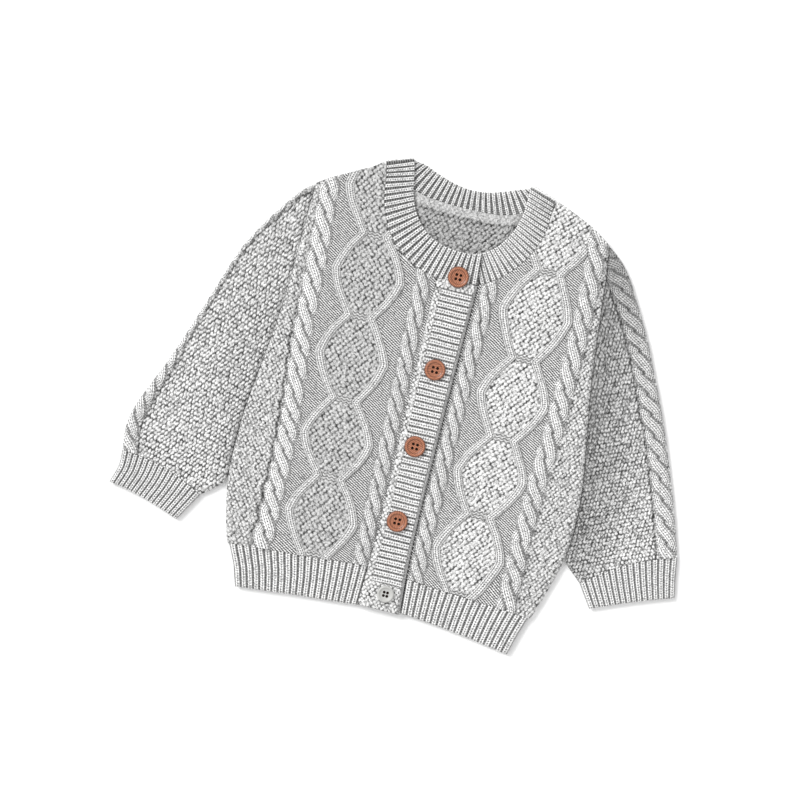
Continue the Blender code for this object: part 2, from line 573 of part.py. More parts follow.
def sleeve_plan(side, rows, columns):
    """Plan points of a sleeve: rows run from the armhole to the cuff, columns from the outer fold inwards."""
    sleeve = SLEEVES[side]
    clear = (OUTWARDS[side] * SEAM, 0.0)
    outer = along(sleeve["outer_fold"], np.linspace(0, 1, rows))
    beside = side_line(side, UNDERARM_Y, sleeve["body_end_y"], 9) + clear
    inner = along([*map(tuple, beside), *sleeve["below_body"]], np.linspace(0, 1, rows))
    armhole = side_line(side, outer[0][1], UNDERARM_Y, columns) + clear
    cuff = cuff_line(sleeve, columns)
    outer[0], inner[0] = armhole[0], armhole[-1]
    return patch(armhole, cuff, outer, inner)


def cuff_line(sleeve, columns):
    """Where the sleeve meets its cuff, from the outer fold to the inner one, bowed towards the shoulder."""
    first, last = np.array(sleeve["outer_fold"][-1]), np.array(sleeve["below_body"][-1])
    share = np.linspace(0, 1, columns)[:, None]
    across = (last - first) / np.linalg.norm(last - first)
    up = np.array([across[1], -across[0]])
    if up[1] < 0:
        up = -up
    return first + (last - first) * share + up * sleeve["cuff_top_bow"] * np.sin(math.pi * share)


def make_sleeve(side):
    sleeve = SLEEVES[side]
    plan = sleeve_plan(side, SLEEVE_ROWS, 61)
    run = np.concatenate([[0.0], np.cumsum(np.linalg.norm(np.diff(plan[:, 0], axis=0), axis=1))])
    outers, inners = [], []
    for r in range(SLEEVE_ROWS):
        line = plan[r]
        reach = np.concatenate([[0.0], np.cumsum(np.linalg.norm(np.diff(line, axis=0), axis=1))])
        width = reach[-1]
        along_fold = plan[min(r + 1, SLEEVE_ROWS - 1), 0] - plan[max(r - 1, 0), 0]
        along_fold /= np.linalg.norm(along_fold)
        out = (line[-1] - line[0]) / width
        lean = max(0.35, abs(along_fold[0] * out[1] - along_fold[1] * out[0]))
        inset = sleeve["rope_inset"]
        offsets = np.array([inset - ROPE_HALF_WIDTH * 0.5, inset, inset + ROPE_HALF_WIDTH * 0.5,
                            inset + ROPE_HALF_WIDTH])
        offsets = np.maximum(offsets, (2.6, 4.0, 6.0, 9.0))
        rope = rope_height(f"{side}_sleeve", offsets[:3] - inset, run[r])
        relief = [*rope, MOSS_RISE, MOSS_RISE, MOSS_RISE, MOSS_RISE]
        columns = [*(offsets / lean), width * 0.4, width * 0.6, width * 0.8]
        if columns[3] > width * 0.36:
            columns = [width * s for s in (0.08, 0.16, 0.24, 0.32, 0.44, 0.6, 0.8)]
        outer, inner = tube_profile(width, relief, SLEEVE_WALL, columns)
        for profile, kept in ((outer, outers), (inner, inners)):
            at = np.clip(profile[:, 0], 0, width)
            xy = np.stack([np.interp(at, reach, line[:, k]) for k in (0, 1)], axis=-1)
            kept.append(np.concatenate([xy, profile[:, 1:]], axis=-1))
    tube(f"{side}_sleeve", outers, inners)


def make_cuff(side):
    sleeve = SLEEVES[side]
    ribs = sleeve["ribs"]
    count = 2 * ribs + 1
    rows = 4
    top = cuff_line(sleeve, count)
    low = along(sleeve["cuff_hem"], np.linspace(0, 1, count))
    plan = patch(top, low, along(sleeve["cuff_outer"], np.linspace(0, 1, rows)),
                 along(sleeve["cuff_inner"], np.linspace(0, 1, rows)))
    down = (low - top) / np.linalg.norm(low - top, axis=1, keepdims=True)
    plan[0] += down * SEAM
    wave = rib_wave(ribs)[2:-2] * RIB_DEPTH
    outers, inners = [], []
    for r in range(rows):
        line = plan[r]
        width = float(np.linalg.norm(line[-1] - line[0]))
        shares = np.linspace(0, 1, count)[2:-2]
        outer, inner = tube_profile(width, wave + 0.3, SLEEVE_WALL, width * shares)
        if r == rows - 1:
            outer[:, 1] = np.where(outer[:, 1] > SLEEVE_WALL, outer[:, 1] - RIB_ROUND * 0.6, outer[:, 1])
        for profile, kept in ((outer, outers), (inner, inners)):
            share = np.clip(profile[:, 0] / width, 0, 1)
            xy = np.stack([np.interp(share, np.linspace(0, 1, count), line[:, k]) for k in (0, 1)], axis=-1)
            kept.append(np.concatenate([xy, profile[:, 1:]], axis=-1))
    tube(f"{side}_cuff", outers, inners)


def make_button(name, x, y, radius, look):
    """A turned disc with a raised rim and a dished middle, drilled with four holes for the thread."""
    profile = bpy.data.meshes.new(name)
    turned = [(share * radius * SCALE, 0.0, height * BUTTON_THICKNESS * SCALE) for share, height in BUTTON_PROFILE]
    profile.from_pydata(turned, [(i, i + 1) for i in range(len(turned) - 1)], [])
    button = new_part(name, profile, look)
    button.location = ((x - TABLE_CENTRE[0]) * SCALE, (y - TABLE_CENTRE[1]) * SCALE, (BAND_CREST + GAP) * SCALE)
    screw = button.modifiers.new("turned", "SCREW")
    screw.steps = screw.render_steps = BUTTON_SEGMENTS
    screw.use_merge_vertices, screw.merge_threshold = True, 0.00001
    screw.use_smooth_shade = True
    drills = bmesh.new()
    for quarter in range(4):
        turn = Matrix.Rotation((quarter + 0.5) * math.pi / 2, 4, "Z")
        out = Matrix.Translation((BUTTON_HOLE_OFFSET * SCALE, 0.0, 0.0))
        bmesh.ops.create_cone(drills, cap_ends=True, segments=6, radius1=BUTTON_HOLE_RADIUS * SCALE,
                              radius2=BUTTON_HOLE_RADIUS * SCALE, depth=4 * BUTTON_THICKNESS * SCALE,
                              matrix=turn @ out)
    drill = bpy.data.meshes.new(f"{name}_drill")
    drills.to_mesh(drill)
    drills.free()
    cutter = new_cutter(f"{name}_drill", drill)
    cutter.location = button.location
    cut(button, cutter)


for leftover in list(bpy.data.objects):
    bpy.data.objects.remove(leftover)
cardigan = bpy.data.collections.new("baby_cardigan")
cutters = bpy.data.collections.new("cutters")
bpy.context.scene.collection.children.link(cardigan)
bpy.context.scene.collection.children.link(cutters)

make_back()
make_back_hem()
for side in ("right", "left"):
    make_front(side)
    make_front_hem(side)
    make_sleeve(side)
    make_cuff(side)
make_button_band()
make_buttonhole_band()
make_neckband()
for row in BUTTONS:
    make_button(*row)
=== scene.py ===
# Baby cardigan in cable knit, buttoned up and laid flat on its back: the looks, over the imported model
import math

import bmesh
import bpy
import numpy as np
from mathutils import Matrix
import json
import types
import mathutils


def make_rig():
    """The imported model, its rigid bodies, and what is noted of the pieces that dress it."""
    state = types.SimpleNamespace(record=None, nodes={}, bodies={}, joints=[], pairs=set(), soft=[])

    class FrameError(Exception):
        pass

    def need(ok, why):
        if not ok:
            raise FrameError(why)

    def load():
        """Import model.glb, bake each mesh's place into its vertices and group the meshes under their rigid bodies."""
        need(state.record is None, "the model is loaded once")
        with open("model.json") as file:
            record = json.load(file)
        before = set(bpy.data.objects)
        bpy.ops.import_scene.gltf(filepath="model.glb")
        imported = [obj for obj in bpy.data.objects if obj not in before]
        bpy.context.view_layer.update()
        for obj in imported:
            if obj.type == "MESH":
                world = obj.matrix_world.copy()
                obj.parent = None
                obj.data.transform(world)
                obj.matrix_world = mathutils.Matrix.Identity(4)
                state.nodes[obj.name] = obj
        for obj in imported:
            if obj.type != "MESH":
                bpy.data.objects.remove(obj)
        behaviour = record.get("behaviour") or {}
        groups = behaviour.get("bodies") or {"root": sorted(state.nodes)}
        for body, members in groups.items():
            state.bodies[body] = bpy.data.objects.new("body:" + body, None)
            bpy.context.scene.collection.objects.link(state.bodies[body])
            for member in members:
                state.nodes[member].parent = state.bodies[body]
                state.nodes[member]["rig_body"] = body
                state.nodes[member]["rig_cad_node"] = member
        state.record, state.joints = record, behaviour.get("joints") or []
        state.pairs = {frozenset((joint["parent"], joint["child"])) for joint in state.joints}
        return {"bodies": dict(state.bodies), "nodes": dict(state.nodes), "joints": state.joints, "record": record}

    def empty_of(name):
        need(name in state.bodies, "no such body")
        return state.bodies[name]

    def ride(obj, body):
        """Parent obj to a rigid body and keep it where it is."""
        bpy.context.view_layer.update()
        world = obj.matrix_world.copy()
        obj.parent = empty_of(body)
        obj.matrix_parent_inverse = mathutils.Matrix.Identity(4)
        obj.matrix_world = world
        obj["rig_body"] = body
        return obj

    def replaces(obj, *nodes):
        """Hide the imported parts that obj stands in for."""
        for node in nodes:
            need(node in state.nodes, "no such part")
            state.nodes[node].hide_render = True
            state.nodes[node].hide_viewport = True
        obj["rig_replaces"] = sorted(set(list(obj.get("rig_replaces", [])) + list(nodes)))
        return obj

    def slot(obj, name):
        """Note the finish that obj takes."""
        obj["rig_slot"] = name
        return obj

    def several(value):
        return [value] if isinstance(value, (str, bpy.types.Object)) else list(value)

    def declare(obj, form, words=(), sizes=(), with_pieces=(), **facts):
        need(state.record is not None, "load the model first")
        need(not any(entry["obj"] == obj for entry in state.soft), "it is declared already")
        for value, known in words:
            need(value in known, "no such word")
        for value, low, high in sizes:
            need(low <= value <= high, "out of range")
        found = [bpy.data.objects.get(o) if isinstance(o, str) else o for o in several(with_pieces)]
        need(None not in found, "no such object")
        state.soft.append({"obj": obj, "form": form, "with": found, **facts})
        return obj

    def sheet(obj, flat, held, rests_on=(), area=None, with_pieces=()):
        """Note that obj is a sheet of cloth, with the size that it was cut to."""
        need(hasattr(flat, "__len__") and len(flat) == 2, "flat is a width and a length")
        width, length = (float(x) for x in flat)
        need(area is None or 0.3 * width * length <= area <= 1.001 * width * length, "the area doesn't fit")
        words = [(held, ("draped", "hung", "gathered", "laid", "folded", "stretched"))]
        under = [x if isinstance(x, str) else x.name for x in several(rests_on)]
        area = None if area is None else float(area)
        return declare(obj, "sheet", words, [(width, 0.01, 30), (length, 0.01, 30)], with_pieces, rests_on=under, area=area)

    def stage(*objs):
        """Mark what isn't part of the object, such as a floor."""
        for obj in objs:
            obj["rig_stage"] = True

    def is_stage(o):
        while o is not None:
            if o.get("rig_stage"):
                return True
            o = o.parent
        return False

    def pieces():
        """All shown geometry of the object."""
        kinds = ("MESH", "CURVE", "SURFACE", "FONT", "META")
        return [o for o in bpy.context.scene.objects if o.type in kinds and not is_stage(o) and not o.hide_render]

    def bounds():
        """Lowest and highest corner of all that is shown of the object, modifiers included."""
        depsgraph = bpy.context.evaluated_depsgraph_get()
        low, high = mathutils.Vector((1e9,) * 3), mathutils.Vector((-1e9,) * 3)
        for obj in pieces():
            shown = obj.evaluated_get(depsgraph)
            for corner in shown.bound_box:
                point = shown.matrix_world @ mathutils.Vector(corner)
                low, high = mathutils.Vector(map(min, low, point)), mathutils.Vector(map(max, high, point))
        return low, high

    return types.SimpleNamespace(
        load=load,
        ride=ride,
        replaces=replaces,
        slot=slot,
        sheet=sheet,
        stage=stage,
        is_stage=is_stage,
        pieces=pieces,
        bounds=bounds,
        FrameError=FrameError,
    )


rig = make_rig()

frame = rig.load()
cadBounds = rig.bounds()
print("frame loaded:", len(frame["nodes"]), "nodes")

# places are millimetres on the cutting table: x to the wearer's left, y to the neck, z up
tableMiddle = np.array((4.6, 3.28, 0.0))
millimetre = 0.001
outward = {"right": -1, "left": 1}

# heights of the layers, as in the solids, but for a thinner sleeve wall that leaves room for the relief
layer = {
    "back": 3, "frontInside": 3.3, "frontFace": 6.1, "underBand": 5.4, "bandInside": 5.7, "bandCrest": 8.5,
    "sleeveTop": 5.7, "sleeveWall": 2.16, "seam": 0.5, "gap": 0.08}

# the body's knitted columns, as x at each height
bodyColumns = (
    "y", "rightSide", "rightRope", "rightDiamond", "rightInnerRope", "bandStart", "bandEnd", "leftInnerRope",
    "leftDiamond", "leftRope", "leftSide")
bodyRows = (
    (-159, -94.6, -82, -46, -11.5, -8.5, 22.5, 28.5, 60, 94, 102.5),
    (-145, -99, -83, -46, -12.5, -8, 22, 28.5, 60, 94, 106.2),
    (-130, -106, -84, -46, -13, -7.5, 21, 28, 60, 94, 111),
    (-110, -113.2, -83.5, -47, -13.6, -7, 20, 27.2, 59, 93.2, 119),
    (-85, -118, -83.5, -48, -13.8, -7, 19.3, 26.8, 59.2, 93, 125.6),
    (-60, -119, -84, -49, -14.2, -7.2, 19, 26.8, 60, 93.4, 127.4),
    (-30, -117.6, -86, -51, -15, -7.8, 19, 26.8, 61.2, 94.4, 125.6),
    (0, -114.2, -88.8, -52.8, -15.8, -8.4, 19, 27, 63, 96.2, 120.8),
    (30, -111.2, -91.8, -54.4, -16.6, -8.8, 19.2, 27.4, 63.4, 96.8, 115.8),
    (60, -109.4, -93.6, -56, -17.6, -9.2, 19.5, 28, 64, 97.2, 111.8),
    (90, -108.8, -95, -57.2, -18.8, -9.6, 20, 28.6, 64.6, 97.4, 108.8),
    (115, -108.4, -97, -59.6, -20, -10, 20.3, 29, 66.6, 96.6, 106.4),
    (140, -107, -98.6, -62, -21, -10, 20.5, 29, 69, 94.6, 102.6),
    (170, -104, -99, -64, -22, -10, 20.5, 29, 72, 92, 97))
bodyTable = dict(zip(bodyColumns, np.array(bodyRows).T))

# lines across the body, and the neckband's free and sewn edges as x, y, x, y
hemStart = -126.0
hemTop = ((-106.2, -130), (-75, -127.6), (-46, -125.6), (-11, -122.4), (21, -124.4), (45, -126.2),
    (75, -128), (111, -130.4))
hemBottom = ((-94.6, -158.8), (-75, -156.8), (-50, -154.2), (-25, -152.2), (-8, -150.6), (22.5, -149.2),
    (40, -150.4), (60, -152.6), (80, -155.4), (102.5, -159))
shoulders = {
    "right": ((-65.3, 156.6), (-70, 152.6), (-80, 147), (-90, 141.6), (-100, 136), (-107.6, 130.8),
        (-121, 118)),
    "left": ((60.1, 159.2), (70, 155.2), (80, 151), (90, 146.2), (97, 141.8), (103.4, 137.2), (116, 126))}
neckEdges = {
    "right": ((17.5, 109.6, 19.6, 88.2), (8, 108, 6, 86.6), (0, 108, -5, 86.2), (-8, 109, -14, 87),
        (-15, 111, -24, 89.8), (-22, 114.5, -34, 95), (-28, 119.5, -43, 102.2), (-33, 125.5, -50.6, 111.2),
        (-37, 133, -56, 122.4), (-40, 142, -59.4, 134), (-41.8, 151, -60.9, 145.2),
        (-44.4, 162.2, -63, 154.8)),
    "back": ((-44.4, 162.2, -63, 154.8), (-38, 162.2, -51, 148), (-27.5, 158.4, -35.5, 141.2),
        (-15, 154.4, -18.5, 139), (-3, 152.4, -3, 138.5), (9, 153, 12.5, 139), (21.5, 156.6, 29, 141.2),
        (32.4, 160.8, 45, 148.8), (39.2, 163, 58.2, 156.8)),
    "left": ((39.2, 163, 58.2, 156.8), (39.4, 152.6, 58.2, 146.6), (38.6, 143.2, 57.4, 136.4),
        (36, 133.6, 54.2, 125), (31.6, 124.6, 48.6, 113.8), (26, 117.2, 41, 103.6), (19, 111.8, 31, 94.4),
        (11, 108.8, 20.4, 88.8), (3, 108, 8, 86.8), (-3.5, 108, -2, 86.4))}


def curveThrough(keys, values, at):
    # a cornerless curve through a table's values
    keys, values = np.asarray(keys, float), np.asarray(values, float)
    slopes = np.gradient(values, keys)
    at = np.clip(at, keys[0], keys[-1])
    low = np.clip(np.searchsorted(keys, at) - 1, 0, len(keys) - 2)
    span = keys[low + 1] - keys[low]
    t = (at - keys[low]) / span
    start = (1 + 2 * t) * (1 - t) ** 2 * values[low] + t * (1 - t) ** 2 * span * slopes[low]
    end = t * t * (3 - 2 * t) * values[low + 1] + t * t * (t - 1) * span * slopes[low + 1]
    return start + end


def bodyLine(name, y):
    return curveThrough(bodyTable["y"], bodyTable[name], y)


def sideLine(side, low, high, count):
    heights = np.linspace(low, high, count)
    return np.stack([bodyLine(side + "Side", heights), heights], -1)


def reachAlong(line):
    return np.concatenate([[0.0], np.cumsum(np.linalg.norm(np.diff(line[:, :2], axis=0), axis=1))])


def along(points, count):
    # a count of points spread evenly along a line
    points = np.asarray(points, float)
    reach = reachAlong(points)
    at = np.linspace(0, 1, count) * reach[-1]
    return np.stack([curveThrough(reach, points[:, k], at) for k in range(points.shape[1])], -1)


def heightAt(line, x):
    line = np.array(sorted(line))
    return curveThrough(line[:, 0], line[:, 1], x)


def meetWelt(x, y):
    # bends the lowest rows to the line where the welt starts
    return y + (heightAt(hemTop, x) - hemStart) * nearness(y - hemStart, 20)


def patchBetween(start, end, firstSide, lastSide):
    # fills the plan between four lines: the first and last row, and a point at each end of every row
    t = np.linspace(0, 1, len(firstSide))[:, None, None]
    w = np.linspace(0, 1, len(start))[None, :, None]
    ruled = (1 - t) * start[None] + t * end[None] + (1 - w) * firstSide[:, None] + w * lastSide[:, None]
    corners = (1 - t) * ((1 - w) * start[0] + w * start[-1]) + t * ((1 - w) * end[0] + w * end[-1])
    return ruled - corners


def nearestOn(line, x, y):
    # distance to a line, its nearest point, and how far along the line that is
    line = np.asarray(line, float)[:, :2]
    best, travelled = np.full((4, *x.shape), 1e9), 0.0
    for (startX, startY), (stepX, stepY) in zip(line[:-1], np.diff(line, axis=0)):
        length = math.hypot(stepX, stepY)
        share = np.clip(((x - startX) * stepX + (y - startY) * stepY) / length ** 2, 0, 1)
        spotX, spotY = startX + share * stepX, startY + share * stepY
        found = np.array([np.hypot(x - spotX, y - spotY), spotX, spotY, travelled + share * length])
        best = np.where(found[0] < best[0], found, best)
        travelled += length
    return best


def hill(away, width):
    return np.exp(-(away / width) ** 2)


def nearness(away, width):
    # 1 at an edge, falling evenly to 0 at a width from it
    return np.clip(1 - away / width, 0, 1)


def roundedOff(turned):
    # how far a round edge has dropped, in shares of its radius
    return 1 - np.sqrt(1 - turned ** 2)


def chance(column, row, seed):
    # the same random share for the same place, every run
    wave = np.sin(column * 127.1 + row * 311.7 + seed * 74.7) * 43758.5453
    return wave - np.floor(wave)


def softNoise(x, y, size, seed):
    column, row = np.floor(x / size), np.floor(y / size)
    shareX, shareY = x / size - column, y / size - row
    shareX, shareY = shareX ** 2 * (3 - 2 * shareX), shareY ** 2 * (3 - 2 * shareY)
    low = chance(column, row, seed) * (1 - shareX) + chance(column + 1, row, seed) * shareX
    high = chance(column, row + 1, seed) * (1 - shareX) + chance(column + 1, row + 1, seed) * shareX
    return low * (1 - shareY) + high * shareY - 0.5


def stray(value, x, y, *waves):
    # a value with soft noise on it, each wave a reach, a size and a seed
    for reach, size, seed in waves:
        value = value + reach * softNoise(x, y, size, seed)
    return value


def softFolds(folds, x, y):
    # soft ridges and troughs, each a row of start x, start y, end x, end y, half width, rise
    lift = np.zeros(x.shape)
    for startX, startY, endX, endY, halfWidth, rise in folds:
        lift += rise * hill(nearestOn(((startX, startY), (endX, endY)), x, y)[0], halfWidth)
    return lift


# Knitting is a table of what each point of the cloth carries: lift in mm, u and v that count stitch columns
# and rows, vee and purl for the stitch that shows, cavity for how deep between the stitches it lies and tone
# for how light its yarn is
legHeight = 1.75


def plainKnit(x, y, columnWidth=2.1, rowHeight=1.4, cavity=0.0, tone=1.0):
    still = np.zeros(x.shape)
    return {"lift": still, "u": x / columnWidth, "v": y / rowHeight, "vee": still, "purl": still + 1.0,
            "cavity": still + cavity, "tone": still + tone}


def ribKnit(phase, reach, rise, ribShare=0.82):
    # one rib for each whole number: a dome of two legs, then a groove that takes what ribShare leaves
    fromMiddle = (phase - np.floor(phase) - 0.5) / ribShare
    dome = np.sqrt(np.clip(1 - np.abs(2 * fromMiddle) ** 3.5, 0, 1))
    still = np.zeros(phase.shape)
    return {"lift": rise * (dome - 0.16 * hill(fromMiddle, 0.11) - 0.8), "u": np.clip(fromMiddle, -0.5, 0.5),
            "v": reach / legHeight, "vee": still + 1.0, "purl": still,
            "cavity": np.clip((np.abs(fromMiddle) - 0.44) / 0.09, 0, 1),
            "tone": 1.46 + 0.06 * (chance(np.floor(phase), 0, 5) - 0.5)}


def lay(knit, where, **values):
    for key, value in values.items():
        knit[key] = np.where(where, value, knit[key])


def darken(knit, amount):
    knit["cavity"] = np.clip(knit["cavity"] + amount, 0, 1)


mossForm = {"size": (0.93, 0.14), "seamWidth": 0.14, "seamDark": 0.3, "pitSlope": 0.2, "speckSize": 0.95,
            "stitchStep": 1.5}


def layMoss(knit, where, x, y, moss, ground=0.0):
    # moss stitch: raised stitches in brick order, each its own size and lean, with small dark pits between
    width, height = moss["repeat"]
    row = np.floor(y / height)
    nearest, second, glow = np.full(x.shape, 9.0), np.full(x.shape, 9.0), np.zeros(x.shape)
    for down in (-1, 0, 1):
        shift = 0.5 * np.mod(row + down, 2)
        column = np.floor(x / width - shift)
        for over in (-1, 0, 1):
            luckX, luckY, luckSize = (chance(column + over, row + down, moss["seed"] + k) for k in range(3))
            fromX = x - (column + over + shift + 0.5 + moss["stray"] * (luckX - 0.5)) * width
            fromY = y - (row + down + 0.5 + moss["stray"] * (luckY - 0.5)) * height
            turn = np.radians(moss["slant"] + moss["swerve"] * (luckX - 0.5))
            size = mossForm["size"][0] + mossForm["size"][1] * luckSize
            lengthwise = (fromX * np.cos(turn) + fromY * np.sin(turn)) / (moss["stitch"][0] * size)
            crosswise = (fromY * np.cos(turn) - fromX * np.sin(turn)) / (moss["stitch"][1] * size)
            away = np.hypot(lengthwise, crosswise)
            glow = np.where(away < nearest, luckY, glow)
            second = np.minimum(second, np.maximum(nearest, away))
            nearest = np.minimum(nearest, away)
    dome = np.clip(1 - nearest ** 2, 0, 1)
    uneven = 0.95 + 0.5 * softNoise(x, y, 1.7, moss["seed"] + 5)
    between = mossForm["seamDark"] * hill(second - nearest, mossForm["seamWidth"])
    pits = np.clip((nearest - moss["pitFrom"]) / mossForm["pitSlope"], 0, 1) * uneven
    specks = np.clip((-softNoise(x, y, mossForm["speckSize"], moss["seed"] + 9) - 0.2) / 0.1, 0, 1)
    dark = np.maximum(np.maximum(pits, between), specks * moss["specks"])
    lay(knit, where, lift=ground + moss["rise"] * (0.8 * dome - 0.5 * pits), vee=0.0, purl=0.0,
        cavity=np.clip(dark, 0, 1), tone=moss["tone"] * (0.94 + 0.14 * dome + 0.12 * (glow - 0.5)),
        u=x / mossForm["stitchStep"], v=y / mossForm["stitchStep"])


ropeForm = {"rise": 2.4, "swing": 3.55, "straightness": 0.75, "halfStrand": 4.3, "taper": 0.68,
            "columnWidth": 3.3, "under": 0.75, "creaseWidth": 0.68, "creaseFade": 6.2, "core": 5,
            "pits": 5.6, "tone": 1.44, "outerBreadth": 1.2}

# where each rope's strands cross, bottom to top: heights on the body, even steps along a sleeve's fold
ropeCrossings = {
    "rightInnerRope": (-121, -106, -89.5, -74.5, -59, -45, -28.5, -15, -2, 14, 28, 47, 65, 81.7, 98),
    "leftInnerRope": (-120, -105.5, -91.7, -76.7, -61, -45, -28, -11, 4, 19, 34, 52, 75, 92),
    "rightRope": (-123, -109, -95, -79, -65, -51.5, -38.5, -26, -9, 8, 22.5, 38, 53.5, 70, 86, 103, 119,
        135),
    "leftRope": (-117, -101, -89, -70.5, -57, -44, -29, -9, 8, 24, 40, 57, 75, 91, 110, 127, 143),
    "rightSleeve": [8 + 14.7 * k for k in range(18)],
    "leftSleeve": [8 + 15.3 * k for k in range(17)]}


def layRope(knit, rope, offset, reach, glow=1.0):
    # two strands that pass over each other in turn, the upper one always leaning the same way
    form = ropeForm
    crossings = np.array(ropeCrossings[rope])
    gaps = np.diff(crossings)
    count = np.interp(reach, crossings, np.arange(len(crossings)))
    count = count + np.minimum(reach - crossings[0], 0) / gaps[0]
    count = count + np.maximum(reach - crossings[-1], 0) / gaps[-1]
    turn = math.pi * (0.5 + count)
    crossing = np.abs(np.sin(turn))
    halfStrand = form["halfStrand"] * (form["taper"] + (1 - form["taper"]) * crossing)
    lifts, columns, edges = [], [], []
    for strand in (0.0, math.pi):
        swing, over = np.cos(turn + strand), np.sin(turn + strand)
        straight = np.arcsin(np.clip(swing, -1, 1)) * 2 / math.pi
        middle = form["straightness"] * straight + (1 - form["straightness"]) * swing
        across = (offset - form["swing"] * middle) / halfStrand
        crown = np.sqrt(np.clip(1 - np.abs(across) ** 2.3, 0, 1))
        lifts.append(crown * (1 - form["under"] / 2 + form["under"] / 2 * over))
        edges.append(np.where(over > 0, hill((np.abs(across) - 1.02) * halfStrand, form["creaseWidth"]), 0.0))
        columns.append(across * form["halfStrand"] / form["columnWidth"])
    upper = np.maximum(*lifts)
    away = np.abs(offset)
    inRope = away < form["swing"] + form["halfStrand"] * form["taper"]
    crease = np.maximum(*edges) * np.clip(1.5 - away / form["creaseFade"], 0, 1)
    hollow = nearness(upper, 0.3) * (away < form["core"])
    pits = hill(away - form["pits"], 1.0) * hill(crossing, 0.35)
    column = np.where(lifts[0] > lifts[1], columns[0], columns[1])
    lay(knit, inRope & ((upper > 0.04) | (away < form["core"])), u=column, v=reach / legHeight, vee=1.0,
        purl=0.0, lift=form["rise"] * (upper - 0.25 * crease), tone=glow * (form["tone"] - 0.1 * column),
        cavity=np.clip(np.maximum(0.95 * crease, 0.6 * hollow) + 0.5 * pits, 0, 1))


def knitGrid(points):
    # a grid over rows of points, whose vertices remember their place in the tables that shape it
    work = bmesh.new()
    rows, columns = points.shape[:2]
    bmesh.ops.create_grid(work, x_segments=columns - 1, y_segments=rows - 1, size=1.0)
    source = work.verts.layers.int.new("source")
    places = ((points - tableMiddle) * millimetre).reshape(-1, 3).tolist()
    for number, vert in enumerate(work.verts):
        vert[source], vert.co = number, places[number]
    return work, source


def fillHoles(work, **how):
    edges = [edge for edge in work.edges if edge.is_boundary]
    faces = bmesh.ops.holes_fill(work, edges=edges, sides=0)["faces"]
    bmesh.ops.triangulate(work, faces=faces, **how)


def ringCloth(points, knit, capped=True):
    # cloth from closed sections: columns go round it and rows run along it, between two caps or, for a tube,
    # down its outside and back up its inside
    def closed(values):
        for axis in ((1,) if capped else (1, 0)):
            values = np.concatenate([values, np.take(values, [0], axis=axis)], axis=axis)
        return values

    for key, value in knit.items():
        knit[key] = closed(value)
    work, _ = knitGrid(closed(points))
    bmesh.ops.remove_doubles(work, verts=work.verts, dist=1e-6)
    if capped:
        fillHoles(work)
    return work


def lined(knit, pick):
    # the inner face of a strip has the stitches of the columns above it
    for key, value in knit.items():
        knit[key] = np.concatenate([value, value[:, pick]], 1)


def cutPanel(points, topLine, cell, bottom):
    # cuts a panel's grid along its neck and shoulders, then walls it down to its inner face
    work, source = knitGrid(points)
    x, y = points[..., 0].ravel(), points[..., 1].ravel()
    line = np.array(sorted(map(tuple, topLine)))
    away, footX, footY, _ = nearestOn(line, x, y)
    signed = np.where(y > np.interp(x, line[:, 0], line[:, 1]), away, -away)
    rim = np.zeros(points.shape[:2], bool)
    rim[:, 0] = rim[:, -1] = rim[0] = True
    cell = np.broadcast_to(cell, rim.shape).ravel()
    outside = signed > -0.35 * cell
    pulled = (signed > np.where(rim.ravel(), -0.9, -1.9) * cell) & ~outside
    bmesh.ops.delete(work, geom=[vert for vert in work.verts if outside[vert[source]]], context="VERTS")
    for vert in work.verts:
        number = vert[source]
        if vert.is_boundary and pulled[number]:
            vert.co.x = (footX[number] - tableMiddle[0]) * millimetre
            vert.co.y = (footY[number] - tableMiddle[1]) * millimetre
    edges = [edge for edge in work.edges if edge.is_boundary]
    for vert in bmesh.ops.extrude_edge_only(work, edges=edges)["geom"]:
        if isinstance(vert, bmesh.types.BMVert):
            vert.co.z = bottom * millimetre
    fillHoles(work, ngon_method="EAR_CLIP")
    return work


def linked(name, content):
    made = bpy.data.objects.new(name, content)
    bpy.context.scene.collection.objects.link(made)
    return made


def meshFrom(name, work):
    mesh = bpy.data.meshes.new(name)
    work.to_mesh(mesh)
    work.free()
    return mesh


def meshObject(name, work):
    return linked(name, meshFrom(name, work))


def smoothed(mesh, sharpAngle):
    mesh.shade_smooth()
    mesh.set_sharp_from_angle(angle=math.radians(sharpAngle))


def dressed(name, mesh, node, slot):
    piece = linked(name, mesh)
    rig.ride(piece, "root")
    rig.replaces(piece, node)
    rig.slot(piece, slot)
    return piece


def clothPiece(name, node, work, knit, sheet):
    bmesh.ops.recalc_face_normals(work, faces=work.faces)
    mesh = meshFrom(name, work)
    source = np.zeros(len(mesh.vertices), np.int32)
    mesh.attributes["source"].data.foreach_get("value", source)
    for attribute, keys in (("knit", ("u", "v", "tone")), ("weave", ("vee", "purl", "cavity"))):
        values = np.stack([knit[key].ravel()[source] for key in keys], -1)
        place = mesh.attributes.new(attribute, "FLOAT_VECTOR", "POINT")
        place.data.foreach_set("vector", values.astype(np.float32).ravel())
    mesh.attributes.remove(mesh.attributes["source"])
    smoothed(mesh, 75)
    mesh.materials.append(yarn)
    piece = dressed(name, mesh, node, "heather_knit")
    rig.sheet(piece, held="laid", **sheet)
    print("knitted", name, "with", sum(len(face.vertices) - 2 for face in mesh.polygons), "triangles")


